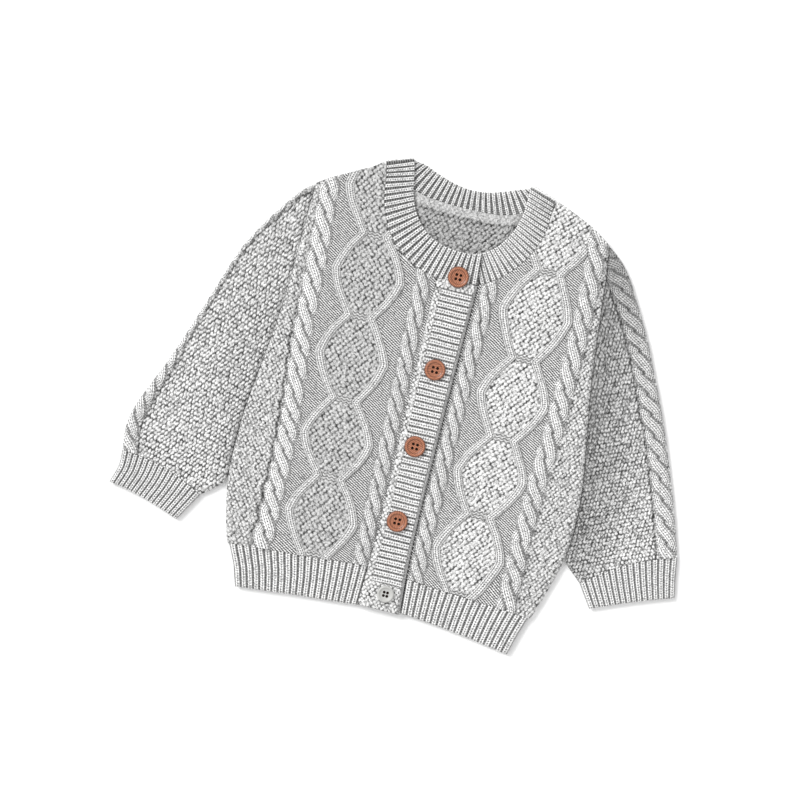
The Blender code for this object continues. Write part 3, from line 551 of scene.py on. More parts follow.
def newMaterial(name):
    # a material, with what makes its nodes, sums and colour ramps, what feeds its surface, and a place in it
    material = bpy.data.materials.new(name)
    material.use_nodes = True
    tree = material.node_tree

    def feed(node, inputs):
        for slot, value in inputs.items():
            if isinstance(value, bpy.types.NodeSocket):
                tree.links.new(value, node.inputs[slot])
            else:
                node.inputs[slot].default_value = value
        return node

    def addNode(kind, inputs, **settings):
        node = tree.nodes.new("ShaderNode" + kind)
        for key, value in settings.items():
            setattr(node, key, value)
        return feed(node, inputs)

    def maths(operation, *values):
        return addNode("Math", dict(enumerate(values)), operation=operation).outputs[0]

    def ramp(value, first, last, *others):
        node = addNode("ValToRGB", {0: value})
        stops = node.color_ramp.elements
        for stop, (place, colour) in zip(stops, (first, last)):
            stop.position, stop.color = place, (*colour, 1)
        for place, colour in others:
            stops.new(place).color = (*colour, 1)
        return node.outputs[0]

    def surface(colour, roughness, specular=0.5, bump=None, **others):
        if bump:
            node = addNode("Bump", dict(zip(("Height", "Distance", "Strength"), bump)))
            others["Normal"] = node.outputs[0]
        feed(tree.nodes["Principled BSDF"], {"Base Color": colour, "Roughness": roughness,
                                             "Specular IOR Level": specular, **others})
        return material

    spot = addNode("TexCoord", {}).outputs["Object"]
    return addNode, maths, ramp, surface, spot


yarnLook = {
    "light": (0.88, 0.878, 0.87), "dark": (0.4, 0.4, 0.4), "fleckFrom": 0.4, "fleckTo": 0.54,
    "fleckScale": 800, "fibreScale": 1500, "stitchDepth": 0.0006, "sheen": 0.2, "roughness": 0.92,
    "mossTop": 0.85, "gapShade": 0.03, "dotWidth": 0.18, "columnGap": 0.16, "legSlant": 1.2,
    "cavityShade": -0.97}


def heatherYarn(name):
    look = yarnLook
    addNode, maths, ramp, surface, spot = newMaterial(name)

    def plus(first, second):
        return maths("ADD", first, second)

    def minus(first, second):
        return maths("SUBTRACT", first, second)

    def times(first, second, more=0.0):
        return maths("MULTIPLY_ADD", first, second, more)

    def peak(value, width):
        offset = maths("DIVIDE", value, width)
        return maths("POWER", math.e, times(times(offset, offset), -1.0))

    def wave(value, reach, middle=0.0):
        return times(maths("COSINE", times(value, 2 * math.pi)), reach, middle)

    def attribute(called):
        vector = addNode("Attribute", {}, attribute_name=called).outputs["Vector"]
        return addNode("SeparateXYZ", {0: vector}).outputs

    def noise(scale, detail, roughness):
        return addNode("TexNoise", {"Vector": spot, "Scale": scale, "Detail": detail,
                                    "Roughness": roughness}).outputs[0]

    u, v, tone = attribute("knit")
    vee, purl, cavity = attribute("weave")

    # knit stitch: two slanting legs, a row of dark dots where they meet and a thin gap to the next column
    fromMiddle = maths("PINGPONG", u, 0.5)
    dots = times(peak(fromMiddle, look["dotWidth"]), wave(v, 0.4, 0.6))
    between = times(peak(minus(fromMiddle, 0.5), look["columnGap"]), wave(v, -0.3, 0.7))
    slant = wave(minus(v, times(fromMiddle, look["legSlant"])), 0.14, 0.9)
    knitTop = minus(minus(slant, times(dots, 1.05)), between)

    # purl stitch: short slanting bars, brick fashion
    purlTop = plus(wave(plus(u, v), 0.75, 0.66), wave(minus(u, v), 0.3))

    stitch = plus(times(vee, knitTop), times(purl, purlTop))
    stitch = plus(stitch, times(minus(1.0, plus(vee, purl)), look["mossTop"]))
    stitch = plus(stitch, times(noise(look["fibreScale"], 2.0, 0.6), 0.5, -0.25))
    # the deep gaps beside knit stitches are bridged by a loop at every row
    cavity = times(cavity, minus(1.0, times(vee, wave(v, 0.25, 0.22))))
    stitch = times(stitch, times(cavity, look["cavityShade"], 1.0))
    stitch = addNode("Clamp", {"Value": stitch}).outputs[0]

    fleck = ramp(noise(look["fleckScale"], 3.0, 0.8), (look["fleckFrom"], look["dark"]),
                 (look["fleckTo"], look["light"]))
    depth = times(times(stitch, 1.0 - look["gapShade"], look["gapShade"]), tone)
    grey = addNode("CombineXYZ", {0: depth, 1: depth, 2: depth}).outputs[0]
    shade = addNode("VectorMath", {0: fleck, 1: grey}, operation="MULTIPLY").outputs[0]
    return surface(shade, look["roughness"], 0.2, (stitch, look["stitchDepth"], 0.8),
                   **{"Sheen Weight": look["sheen"], "Sheen Roughness": 0.5})


yarn = heatherYarn("heatherKnit")
print("yarn spun")

diamondMoss = {"repeat": (3.8, 2.2), "stitch": (1.75, 1.45), "slant": 10, "swerve": 40, "stray": 0.26,
               "pitFrom": 0.8, "specks": 0.35, "tone": 1.12, "rise": 0.55, "seed": 3}
sideMoss = {**diamondMoss, "repeat": (2.9, 1.95), "stitch": (1.35, 1.22), "specks": 0.6, "tone": 1.02,
            "seed": 111}
latticeForm = {"rise": 1.7, "halfBand": 3.4, "narrow": 8.3, "wide": 23.3, "columnWidth": 3.7, "puff": 0.55,
               "lines": 1.9, "lineWidth": 0.45, "knotHigh": 3.1, "knotWide": 5.2}
frontForm = {
    "columns": 182, "rows": 505, "top": 168, "edgeRound": 3.4, "cell": 0.58, "mossFrom": 6.6,
    "right": {
        "edge": "bandStart", "shade": 0.97, "diamondTone": 0.84, "ropeGlow": 1.16,
        "sheet": {"flat": (0.116, 0.288), "area": 0.0268, "rests_on": ["back"]},
        "meets": (-182, -125, -68, -13, 47, 105, 166),
        "folds": ((-52, 86, -60, 0, 22, -0.6), (-106, 118, -110, 20, 5, 0.7),
            (-30, -40, -90, -70, 24, 0.6))},
    "left": {
        "edge": "bandEnd", "shade": 1, "diamondTone": 1.1, "ropeGlow": 1.02,
        "sheet": {"flat": (0.109, 0.288), "area": 0.0256, "rests_on": ["back"]},
        "meets": (-183, -126, -69, -12.5, 45, 109, 170),
        "folds": ((98, 40, 96, -80, 14, 0.8), (62, 80, 60, 0, 20, 0.4), (40, -60, 80, -110, 20, -0.5))}}


def latticeReach(side, y):
    # how far the band runs from the diamond's middle
    meets = np.array(frontForm[side]["meets"])
    low = np.clip(np.searchsorted(meets, y) - 1, 0, len(meets) - 2)
    share = (y - meets[low]) / (meets[low + 1] - meets[low])
    swell = 0.4 * (1 - np.abs(2 * share - 1)) + 0.6 * np.sin(math.pi * share)
    return latticeForm["narrow"] + (latticeForm["wide"] - latticeForm["narrow"]) * swell


def frontKnit(side, x, y):
    way, form = outward[side], frontForm[side]
    wanderX = stray(x, x, y, (0.8, 17, 1 + way), (0.35, 6, 4 + way))
    wanderY = stray(y, x, y, (0.8, 15, 7 + way), (0.35, 6, 9 + way))
    innerRope, diamond, rope = (bodyLine(side + part, y) for part in ("InnerRope", "Diamond", "Rope"))
    knit = plainKnit(wanderX, wanderY, 2.9, 1.74, 0.12, 1.02)

    offset = wanderX - diamond
    reach = latticeReach(side, wanderY)
    half = latticeForm["halfBand"]
    puff = latticeForm["puff"] * (1 - (offset / np.maximum(reach - half, 1)) ** 2)
    layMoss(knit, np.abs(offset) < reach - half + 0.3, offset, wanderY,
            {**diamondMoss, "tone": form["diamondTone"]}, puff)

    # rows of small knots where two diamonds meet
    fromMeets = wanderY[..., None] - np.array(form["meets"])
    nearest = np.abs(fromMeets).argmin(axis=-1)[..., None]
    toMeet = np.take_along_axis(fromMeets, nearest, axis=-1)[..., 0]
    trough = 0.5 + 0.5 * np.cos(math.pi * (toMeet + 0.5 * np.cos(offset * 1.7)))
    knots = (np.abs(toMeet) < latticeForm["knotHigh"]) & (np.abs(offset) < latticeForm["knotWide"])
    lay(knit, knots, lift=0.8 * (1 - trough), cavity=0.95 * trough, vee=0.0, purl=0.0, tone=1.15)

    band = np.abs(offset) - reach
    flatTop = 1 - np.abs(band / (half + 0.1)) ** 5
    channel = hill(np.abs(band) - latticeForm["lines"], latticeForm["lineWidth"])
    channel = channel + hill(band, latticeForm["lineWidth"])
    lay(knit, np.abs(band) < half, lift=latticeForm["rise"] * flatTop - 0.3 * channel, vee=1.0, purl=0.0,
        u=band / latticeForm["columnWidth"], v=wanderY / 1.5, tone=1.4,
        cavity=0.75 * np.abs(band / half) ** 7)

    outside = way * (wanderX - rope)
    layMoss(knit, outside > frontForm["mossFrom"], wanderX, wanderY, sideMoss, 0.35)
    layRope(knit, side + "InnerRope", wanderX - innerRope, wanderY)
    layRope(knit, side + "Rope", (wanderX - rope) / ropeForm["outerBreadth"], wanderY, form["ropeGlow"])

    # the dark line where the outer rope meets the moss beside it
    if side == "right":
        crinkle = 0.95 * hill(outside - 8.1 - 0.7 * np.sin(wanderY * 0.42), 0.85)
        crinkle = crinkle * np.clip((70 - y) / 60, 0.15, 1) * (0.85 + 0.5 * softNoise(x, y, 4, 61))
    else:
        toCrossing = np.abs(wanderY[..., None] - np.array(ropeCrossings["leftRope"])).min(axis=-1)
        crinkle = 0.85 * np.exp(-((outside - 7.7) / 1.1) ** 2 - (toCrossing / 2.2) ** 2)
    knit["lift"] = knit["lift"] - 0.9 * crinkle
    knit["tone"] = knit["tone"] * form["shade"]
    darken(knit, 0.9 * crinkle)
    return knit


def sewnEdge(stretch):
    line = along(neckEdges[stretch], 40)
    out = line[:, 2:] - line[:, :2]
    return line[:, 2:] + layer["gap"] * out / np.linalg.norm(out, axis=1, keepdims=True)


def makeFront(side):
    form = frontForm[side]
    height = np.linspace(hemStart, frontForm["top"], frontForm["rows"])[:, None]
    share = np.linspace(0, 1, frontForm["columns"])[None, :]
    edge = bodyLine(form["edge"], height) + outward[side] * layer["gap"]
    limit = bodyLine(side + "Side", height)
    x = edge + (limit - edge) * share
    y = height + 0 * share
    knit = frontKnit(side, x, y)
    y = meetWelt(x, y)
    knit["lift"] = knit["lift"] + softFolds(form["folds"], x, y) + 0.5 * softNoise(x, y, 28, 20)
    turned = nearness(np.abs(limit - x), frontForm["edgeRound"])
    drop = roundedOff(turned) * (layer["frontFace"] - layer["frontInside"]) * 0.9
    fromBand = np.clip(np.abs(x - edge) / 1.2, 0, 1)
    z = layer["frontFace"] + knit["lift"] * (1 - turned ** 2) * (0.3 + 0.7 * fromBand) - drop
    z = np.maximum(z, layer["frontInside"] + 0.4)
    if side == "left":
        # stitches caught in the shade of the buttonhole band
        darken(knit, hill(x - edge, 1.5) * (0.55 + 0.45 * np.cos(y * 1.9)))
    topLine = np.vstack([sewnEdge(side), along(shoulders[side], 16)])
    work = cutPanel(np.stack([x, y, z], -1), topLine, frontForm["cell"], layer["frontInside"])
    clothPiece(side + "FrontKnit", side + "_front", work, knit, form["sheet"])


backForm = {"across": (-106, 103), "fineX": (-62, 60), "down": (hemStart, 166), "fineY": (82, 160),
            "fine": 0.7, "coarse": 3.2, "tape": 7.6, "opening": (-44, 39),
            "sheet": {"flat": (0.247, 0.289), "area": 0.0662}}
insideMoss = {**diamondMoss, "repeat": (3.5, 2.2), "stitch": (1.6, 1.4), "specks": 0.5, "seed": 223}


def mixedSteps(low, high, fineLow, fineHigh):
    # steps that are fine where the panel shows
    fine, coarse = backForm["fine"], backForm["coarse"]
    before = np.linspace(low, fineLow, int((fineLow - low) / coarse) + 1)[:-1]
    middle = np.linspace(fineLow, fineHigh, int((fineHigh - fineLow) / fine) + 1)
    after = np.linspace(fineHigh, high, max(2, int((high - fineHigh) / coarse) + 1))[1:]
    return np.concatenate([before, middle, after])


def makeBack():
    form = backForm
    steps = mixedSteps(*form["across"], *form["fineX"])
    share = ((steps - steps[0]) / (steps[-1] - steps[0]))[None, :]
    height = mixedSteps(*form["down"], *form["fineY"])[:, None]
    low, high = bodyLine("rightSide", height), bodyLine("leftSide", height)
    x = low + (high - low) * share
    y = meetWelt(x, height + 0 * share)
    neck = sewnEdge("back")
    fromNeck = nearestOn(neck, x, y)[0]
    rims = [np.array(neckEdges[side])[:, :2] for side in ("right", "left")]
    fromRim = np.minimum(*(nearestOn(rim, x, y)[0] for rim in rims))
    opening = np.concatenate([rims[1][::-1], rims[0]])
    opening = opening[np.argsort(opening[:, 0])]
    low, high = form["opening"]
    inside = (y > np.interp(x, opening[:, 0], opening[:, 1])) & (x > low) & (x < high)
    shown = np.where(inside, np.clip(fromRim / 2.5, 0, 1), 0.0)
    knit = plainKnit(x, y)
    layMoss(knit, True, x, y, insideMoss)
    # the plain strip that carries the neckband's seam
    tape = np.clip((form["tape"] - fromNeck) / 2.0, 0, 1)
    knit["lift"] = knit["lift"] * (1 - tape) + 0.3 * tape
    knit["cavity"] = knit["cavity"] * (1 - 0.6 * tape) + 0.25 * hill(fromNeck - form["tape"], 1.2)
    knit["tone"] = knit["tone"] * (0.585 + 0.115 * tape)
    z = layer["back"] + np.clip(knit["lift"] + 0.3, 0, 1.2) * shown
    slopes = [along(shoulders[side][:-1], 9) for side in ("right", "left")]
    cell = np.maximum(np.gradient(steps)[None, :], np.gradient(height[:, 0])[:, None])
    work = cutPanel(np.stack([x, y, z], -1), np.vstack([*slopes, neck]), cell, 0.0)
    clothPiece("backKnit", "back", work, knit, form["sheet"])


# the edges that the welts lie between, and for each welt in open the end that shows its rounded side
weltEdges = {
    "rightSide": sideLine("right", -130.4, -158.8, 5), "leftSide": sideLine("left", -130.8, -159, 5),
    "rightBand": np.array(((-7.6, -122.6), (-8.6, -150.6))),
    "leftBand": np.array(((21.2, -124.7), (22.9, -149.2)))}
frontWelt = {"stepsARib": 9, "rows": 34, "face": layer["frontFace"] + 0.45, "inside": layer["frontInside"],
             "rise": 1.2, "edgeRound": 1.6}
weltForm = {
    "ribPitch": 4.5, "sideRound": 2.6, "insideRows": 3,
    "right": {**frontWelt, "ribs": 20, "between": ("rightSide", "rightBand"), "open": 0,
              "sheet": {"flat": (0.092, 0.031), "rests_on": ["back_hem"]}},
    "left": {**frontWelt, "ribs": 18, "between": ("leftBand", "leftSide"), "open": -1,
             "sheet": {"flat": (0.084, 0.031), "rests_on": ["back_hem"]}},
    "back": {"ribs": 40, "between": ("rightSide", "leftSide"), "sheet": {"flat": (0.208, 0.031)},
             "stepsARib": 4, "rows": 12, "face": layer["back"] - 0.2, "inside": 0, "rise": 0,
             "edgeRound": 1.2}}


def weltPatch(edges, columns, rows):
    firstEdge, lastEdge = edges
    shares = np.linspace(0, 1, columns)
    topX, lowX = (firstEdge[k, 0] + (lastEdge[k, 0] - firstEdge[k, 0]) * shares for k in (0, -1))
    top = np.stack([topX, heightAt(hemTop, topX) - layer["seam"] * 0.4], -1)
    low = np.stack([lowX, heightAt(hemBottom, lowX)], -1)
    first, last = along(firstEdge, rows), along(lastEdge, rows)
    first[0], first[-1], last[0], last[-1] = top[0], low[0], top[-1], low[-1]
    return patchBetween(top, low, first, last)


def makeWelt(name):
    # sections from top to bottom of a welt, over its rounded free edge and back up inside
    form = weltForm[name]
    columns, rows = form["ribs"] * form["stepsARib"] + 1, form["rows"]
    plan = weltPatch([weltEdges[edge] for edge in form["between"]], columns, rows)
    reach = np.linalg.norm(plan - plan[:1], axis=-1)
    knit = ribKnit(np.linspace(0, form["ribs"], columns) + 0 * reach, reach, form["rise"])
    thickness = form["face"] - form["inside"]
    turned = nearness(reach[-1] - reach, form["edgeRound"])
    z = form["face"] + knit["lift"] * (1 - 0.7 * turned) - roundedOff(turned) * thickness * 0.75
    if "open" in form:
        across = np.arange(columns) * (weltForm["ribPitch"] * form["ribs"] / (columns - 1))
        sideTurn = nearness(np.abs(across - across[form["open"]]), weltForm["sideRound"])
        z = z - (roundedOff(sideTurn) * thickness * 0.8)[None, :]
    z = np.maximum(z, form["inside"] + 0.35)
    backRows = np.linspace(rows - 1, 0, weltForm["insideRows"]).astype(int)
    outer = np.concatenate([plan, z[..., None]], -1)
    inner = np.concatenate([plan[backRows], np.full((len(backRows), columns, 1), form["inside"])], -1)
    knit = {key: value.T for key, value in knit.items()}
    lined(knit, backRows)
    work = ringCloth(np.concatenate([outer, inner]).transpose(1, 0, 2), knit)
    clothPiece(name + "HemRib", name + "_hem", work, knit, form["sheet"])


sleeveMoss = {
    "right": {**diamondMoss, "repeat": (2.45, 3.2), "stitch": (1.85, 1.15), "slant": 78, "swerve": 40,
              "specks": 0.5, "rise": 0.65, "seed": 331, "across": -15, "up": 74},
    "left": {**diamondMoss, "repeat": (2.5, 2.6), "stitch": (1.5, 1.2), "slant": 84, "swerve": 70,
             "specks": 0.8, "rise": 0.55, "seed": 437, "across": 23.5, "up": 114}}
# ropeInset is how far in from the fold the rope's middle lies, at distances down the fold
sleeveForm = {
    "columns": 61, "foldPoints": 120, "pastCuff": 60, "ropeTop": 400, "cuffBow": 4,
    "right": {
        "bodyEnd": -83, "rows": 380, "shade": 0.1, "shadeWidth": 9, "paling": 0,
        "ropeInset": ((0, -4.2), (120, -4.2), (150, -3), (200, 2), (250, 4.6)),
        "sheet": {"flat": (0.150, 0.240), "area": 0.0262},
        "outerFold": ((-108, 130.2), (-113, 126.2), (-118, 121.4), (-125, 112), (-133, 100.5), (-140, 89),
            (-146.5, 77), (-151.6, 64), (-156, 51), (-160.3, 38), (-165, 24), (-170, 9), (-175.2, -6),
            (-180.8, -20.5), (-187, -35), (-192.2, -48), (-195.6, -60), (-196.6, -71), (-194.8, -84.4)),
        "belowBody": ((-119.6, -88.4), (-123.2, -93), (-128.2, -97.6), (-134, -102)),
        "folds": ((-114.5, 109.5, -118.8, -4.2, 14, -1.6), (-155.6, 12.1, -136.8, -5, 9, 1.2),
            (-163.3, -15.3, -118, -36.7, 8, -1.5), (-157.3, -24.7, -118.9, -62.3, 8, 1.3),
            (-170, -62, -140, -88, 9, -0.9), (-142, 70, -128, 30, 14, 0.7))},
    "left": {
        "bodyEnd": -80.5, "rows": 370, "shade": 0.4, "shadeWidth": 30, "paling": 0.08,
        "ropeInset": ((0, 7.4), (250, 7.4)),
        "sheet": {"flat": (0.156, 0.224), "area": 0.0262},
        "outerFold": ((103.8, 136.8), (108.8, 133.4), (116.4, 126.4), (122.8, 118.4), (130.8, 105),
            (138.8, 91.2), (147.4, 75.4), (154, 61.2), (160.8, 47), (167.4, 32.2), (173.6, 17.8),
            (179.5, 2.8), (184.8, -11.2), (189.8, -25), (194, -37), (197.6, -48.2), (200.2, -56.2),
            (202.6, -63.6)),
        "belowBody": ((127.6, -86.2), (131.6, -90.6), (136, -94.4), (140, -97.8)),
        "folds": ((105.2, 117.1, 126.5, -12.1, 15, -2.2), (129.9, -11.2, 149.6, 11.9, 7, 1.4),
            (131.6, -32.6, 157.3, -4.4, 7, -1.7), (140, -44, 168, -12, 8, 1.1),
            (129, -80.4, 135.1, -31.7, 7, -1.8), (150, 40, 165, 10, 12, 0.8))}}
tubeForm = {"acrossTop": 140, "foldSteps": 8, "foldRound": 4.4, "underSteps": 10, "underRound": 2.4,
            "insideRows": 8, "ceilingDrop": 0.3, "deepest": -2}
cuffForm = {
    "ribs": 16, "stepsARib": 9, "rows": 30, "rise": 1.15, "hemRound": 1.6, "foldRound": 2.8, "insideRows": 4,
    "right": {
        "sheet": {"flat": (0.124, 0.026)},
        "outer": ((-194.8, -84.4), (-194.6, -95.4), (-198.3, -108.6)),
        "inner": ((-134, -102), (-140, -112.2), (-146.2, -122.8)),
        "hem": ((-198.3, -108.6), (-185, -110.8), (-172, -114), (-159, -118.2), (-146.2, -122.8))},
    "left": {
        "sheet": {"flat": (0.134, 0.026)},
        "outer": ((202.6, -63.6), (204.8, -78.4), (207.5, -92)),
        "inner": ((140, -97.8), (145.6, -106), (151, -113.8)),
        "hem": ((207.5, -92), (195, -96.2), (180, -101.8), (165, -107.8), (151, -113.8))}}


def cuffLine(side, columns):
    # the bowed line where a sleeve meets its cuff
    first, last = (np.array(sleeveForm[side][edge][-1]) for edge in ("outerFold", "belowBody"))
    share = np.linspace(0, 1, columns)[:, None]
    across = (last - first) / np.linalg.norm(last - first)
    up = np.array([across[1], -across[0]])
    up = up if up[1] > 0 else -up
    return first + (last - first) * share + up * sleeveForm["cuffBow"] * np.sin(math.pi * share)


def sleevePlan(side):
    form, columns = sleeveForm[side], sleeveForm["columns"]
    clear = (outward[side] * layer["seam"] * 0.5, 0.0)
    outer = along(form["outerFold"], form["rows"])
    beside = sideLine(side, -3.0, form["bodyEnd"], 9) + clear
    inner = along([*map(tuple, beside), *form["belowBody"]], form["rows"])
    armhole = sideLine(side, outer[0][1], -3.0, columns) + clear
    outer[0], inner[0] = armhole[0], armhole[-1]
    return patchBetween(armhole, cuffLine(side, columns), outer, inner)


def flatTube(plan, stations, relief, knit, foldRound, insideRows):
    # a flattened tube with a wall. The stations lie across each row of the plan, from the outer fold.
    # Its underside gets plain stitches, and its inside the stitches of its outside
    top, wall, underSteps = layer["sleeveTop"], layer["sleeveWall"], tubeForm["underSteps"]
    outside, inside = [], []
    for line, across, lift in zip(plan, stations, relief):
        reach, width = reachAlong(line), across[-1]
        at = across * reach[-1] / width
        turned = np.maximum(nearness(at, foldRound), nearness(width - at, foldRound))
        rise = top * (0.5 + 0.5 * np.sqrt(1 - turned ** 2)) + lift * (1 - turned) ** 0.5
        under = np.linspace(width, 0, underSteps + 2)[1:-1]
        underTurn = np.maximum(*(nearness(away, tubeForm["underRound"]) for away in (under, width - under)))
        ring = np.concatenate([at, under])
        heights = np.concatenate([rise, top * 0.5 * roundedOff(underTurn)])
        ceiling = np.where(np.arange(len(ring)) < len(at), top - wall - tubeForm["ceilingDrop"], wall)
        inset = np.clip(ring, wall, width - wall)
        for kept, spots, z in ((outside, ring, heights), (inside, inset, ceiling)):
            kept.append(np.stack([*(np.interp(spots, reach, line[:, k]) for k in (0, 1)), z], -1))
    rows = len(plan)
    pick = np.linspace(rows - 1, 0, insideRows).round().astype(int)
    u, v = np.meshgrid(np.linspace(0, 30, underSteps), np.linspace(0, rows * 0.4, rows))
    plain = plainKnit(u, v, 1, 1, 0.0, 0.97)
    for key, value in knit.items():
        whole = np.concatenate([value, plain[key]], 1)
        knit[key] = np.concatenate([whole, whole[pick]])
    return ringCloth(np.concatenate([np.array(outside), np.array(inside)[pick]]), knit, capped=False)


def makeSleeve(side):
    form, moss = sleeveForm[side], sleeveMoss[side]
    plan = sleevePlan(side)
    arc = tubeForm["foldRound"] * (1 - np.cos(np.linspace(0, math.pi / 2, tubeForm["foldSteps"] + 1)))
    stations = []
    for line in plan:
        width = reachAlong(line)[-1]
        middle = np.linspace(arc[-1], width - arc[-1], tubeForm["acrossTop"])[1:-1]
        stations.append(np.concatenate([arc, middle, (width - arc)[::-1]]))
    x, y = (np.array([np.interp(at, reachAlong(line), line[:, k]) for at, line in zip(stations, plan)])
            for k in (0, 1))
    fold = along(form["outerFold"], sleeveForm["foldPoints"])
    past = fold[-1] + sleeveForm["pastCuff"] * (fold[-1] - fold[-30]) / np.linalg.norm(fold[-1] - fold[-30])
    inward, _, _, down = nearestOn(np.vstack([fold, past]), x, y)
    inward = stray(inward, x, y, (0.9, 14, 41), (0.4, 5, 43))
    down = stray(down, x, y, (0.9, 14, 47), (0.4, 5, 49))

    # the moss follows two slanting directions of its own
    knit = plainKnit(inward, down)
    across, up = math.radians(moss["across"]), math.radians(moss["up"])
    wanderX = stray(x, x, y, (0.8, 14, 41), (0.5, 4, 43))
    wanderY = stray(y, x, y, (0.8, 14, 47), (0.5, 4, 49))
    width = (wanderX * math.sin(up) - wanderY * math.cos(up)) / math.sin(up - across)
    height = (wanderY * math.cos(across) - wanderX * math.sin(across)) / math.sin(up - across)
    layMoss(knit, True, width, height, moss, 0.2)
    fromRope = inward - np.interp(down, *np.array(form["ropeInset"]).T)
    layRope(knit, side + "Sleeve", -outward[side] * fromRope / ropeForm["outerBreadth"],
            sleeveForm["ropeTop"] - down)
    darken(knit, 0.6 * hill(fromRope - 8.0, 0.8))

    # the seam and the shade beside the body
    fromBody = nearestOn(sideLine(side, -90.0, 140.0, 40), x, y)[0]
    seam = hill(fromBody, 1.6)
    darken(knit, 0.1 * seam)
    knit["tone"] = knit["tone"] * (1 - form["shade"] * hill(fromBody, form["shadeWidth"]))
    knit["tone"] = knit["tone"] * (1 + form["paling"] * (down - 140) / 100)
    relief = knit["lift"] * (1 - 0.8 * seam) + softFolds(form["folds"], x, y) - 1.4 * seam
    relief = np.maximum(relief + 0.6 * softNoise(x, y, 26, 53), tubeForm["deepest"])
    work = flatTube(plan, stations, relief, knit, tubeForm["foldRound"], tubeForm["insideRows"])
    clothPiece(side + "SleeveKnit", side + "_sleeve", work, knit, form["sheet"])


def makeCuff(side):
    form = cuffForm[side]
    count, rows = cuffForm["ribs"] * cuffForm["stepsARib"] + 1, cuffForm["rows"]
    top, low = cuffLine(side, count), along(form["hem"], count)
    plan = patchBetween(top, low, along(form["outer"], rows), along(form["inner"], rows))
    plan[0] += (low - top) / np.linalg.norm(low - top, axis=1, keepdims=True) * layer["seam"] * 0.5
    reach = np.linalg.norm(plan - plan[:1], axis=-1)
    phase = np.broadcast_to(np.linspace(0, cuffForm["ribs"], count), plan.shape[:2])
    knit = ribKnit(phase, reach, cuffForm["rise"])
    rim = nearness(reach[-1:] - reach, cuffForm["hemRound"])
    relief = knit["lift"] + 0.3 - 1.6 * roundedOff(rim)
    stations = [reachAlong(line) for line in plan]
    work = flatTube(plan, stations, relief, knit, cuffForm["foldRound"], cuffForm["insideRows"])
    clothPiece(side + "CuffRib", side + "_cuff", work, knit, form["sheet"])


bandForm = {"top": 86, "bottom": -150.2, "ribTop": 80, "ribBottom": -131, "ribPitch": 4.5, "tilt": 1.6,
            "moss": 4.8, "selvedge": 1.9, "rows": 470, "columns": 46, "rise": 1.1, "hemRound": 1.6,
            "insideX": (1, 0.62, 0.14, 0), "innerEdge": 3.8, "insideColumns": [45, 33, 5, 1],
            "sheet": {"flat": (0.030, 0.236), "rests_on": ["button_band", "right_front"]}}
underBand = {"rows": 236, "columns": 16, "from": 6.6, "insideColumns": [15, 8, 0],
             "sheet": {"flat": (0.024, 0.236), "rests_on": ["back"]}}
bandMoss = {**diamondMoss, "repeat": (3, 2), "stitch": (1.4, 1.25), "specks": 0.5, "seed": 561}


def bandTilt(y):
    # the band's top end slants up to the neckband
    return bandForm["tilt"] * np.clip((y - bandForm["ribTop"]) / (bandForm["top"] - bandForm["ribTop"]), 0, 1)


def makeButtonholeBand():
    form = bandForm
    y = np.linspace(form["top"], form["bottom"], form["rows"])[:, None]
    start, end = bodyLine("bandStart", y), bodyLine("bandEnd", y)
    share = np.linspace(0, 1, form["columns"])[None, :]
    x = start + (end - start) * share
    y = y + 0 * x
    fromStart, fromEnd = x - start, end - x
    tilt = bandTilt(y) * share
    wave = y + 0.5 * softNoise(x, y, 12, 63)
    knit = ribKnit((form["ribTop"] - wave) / form["ribPitch"], x, form["rise"])
    mossEnd = (y > form["ribTop"] + 0.3) | (y < form["ribBottom"] - 0.3)
    layMoss(knit, mossEnd | (fromStart < form["moss"]), x, wave, bandMoss, -0.1)
    lay(knit, fromEnd < form["selvedge"], lift=-0.05, cavity=0.0, vee=1.0, purl=0.0, u=fromEnd / 1.8,
        v=wave / 1.5, tone=1.02)
    darken(knit, 0.4 * hill(fromEnd - form["selvedge"], 0.5))
    climb = np.clip(fromStart / form["moss"], 0, 1) ** 0.8
    face = layer["frontFace"] + (layer["bandCrest"] - layer["frontFace"]) * climb
    hem = nearness(y - form["bottom"], form["hemRound"])
    drop = 1.7 * roundedOff(nearness(fromEnd, 1.8)) + 1.3 * roundedOff(hem)
    z = face + knit["lift"] * np.clip(fromStart, 0.2, 1) * (1 - 0.5 * hem) - drop
    # the dotted shade where the band leaves the front
    darken(knit, (0.35 + 0.35 * np.cos(y * 2.3)) * nearness(fromStart, 1.1))
    shares = np.array(form["insideX"])
    insideX = start + (end - start) * shares
    insideX[:, 2] = start[:, 0] + form["innerEdge"]
    insideY = y[:, :1] + tilt[:, -1:] * shares
    insideZ = np.where(shares > 0, layer["bandInside"], layer["frontInside"]) + 0 * insideX
    sections = [np.stack([x, y + tilt, z], -1), np.stack([insideX, insideY, insideZ], -1)]
    lined(knit, form["insideColumns"])
    work = ringCloth(np.concatenate(sections, 1), knit)
    clothPiece("buttonholeBandKnit", "buttonhole_band", work, knit, form["sheet"])


def makeButtonBand():
    form = underBand
    y = np.linspace(bandForm["top"], bandForm["bottom"], form["rows"])[:, None]
    low, end = bodyLine("bandStart", y), bodyLine("bandEnd", y)
    start = low + form["from"]
    x = start + (end - start) * np.linspace(0, 1, form["columns"])[None, :]
    y = y + 0 * x
    knit = ribKnit((bandForm["ribTop"] - y) / bandForm["ribPitch"], x, 0.0)
    tilt = bandTilt(y) * (x - low) / (end - low)
    outer = np.stack([x, y + tilt, np.full(x.shape, layer["underBand"])], -1)
    inner = outer[:, form["insideColumns"]] * (1, 1, 0) + (0, 0, layer["frontInside"])
    lined(knit, form["insideColumns"])
    work = ringCloth(np.concatenate([outer, inner], 1), knit)
    clothPiece("buttonBandKnit", "button_band", work, knit, form["sheet"])


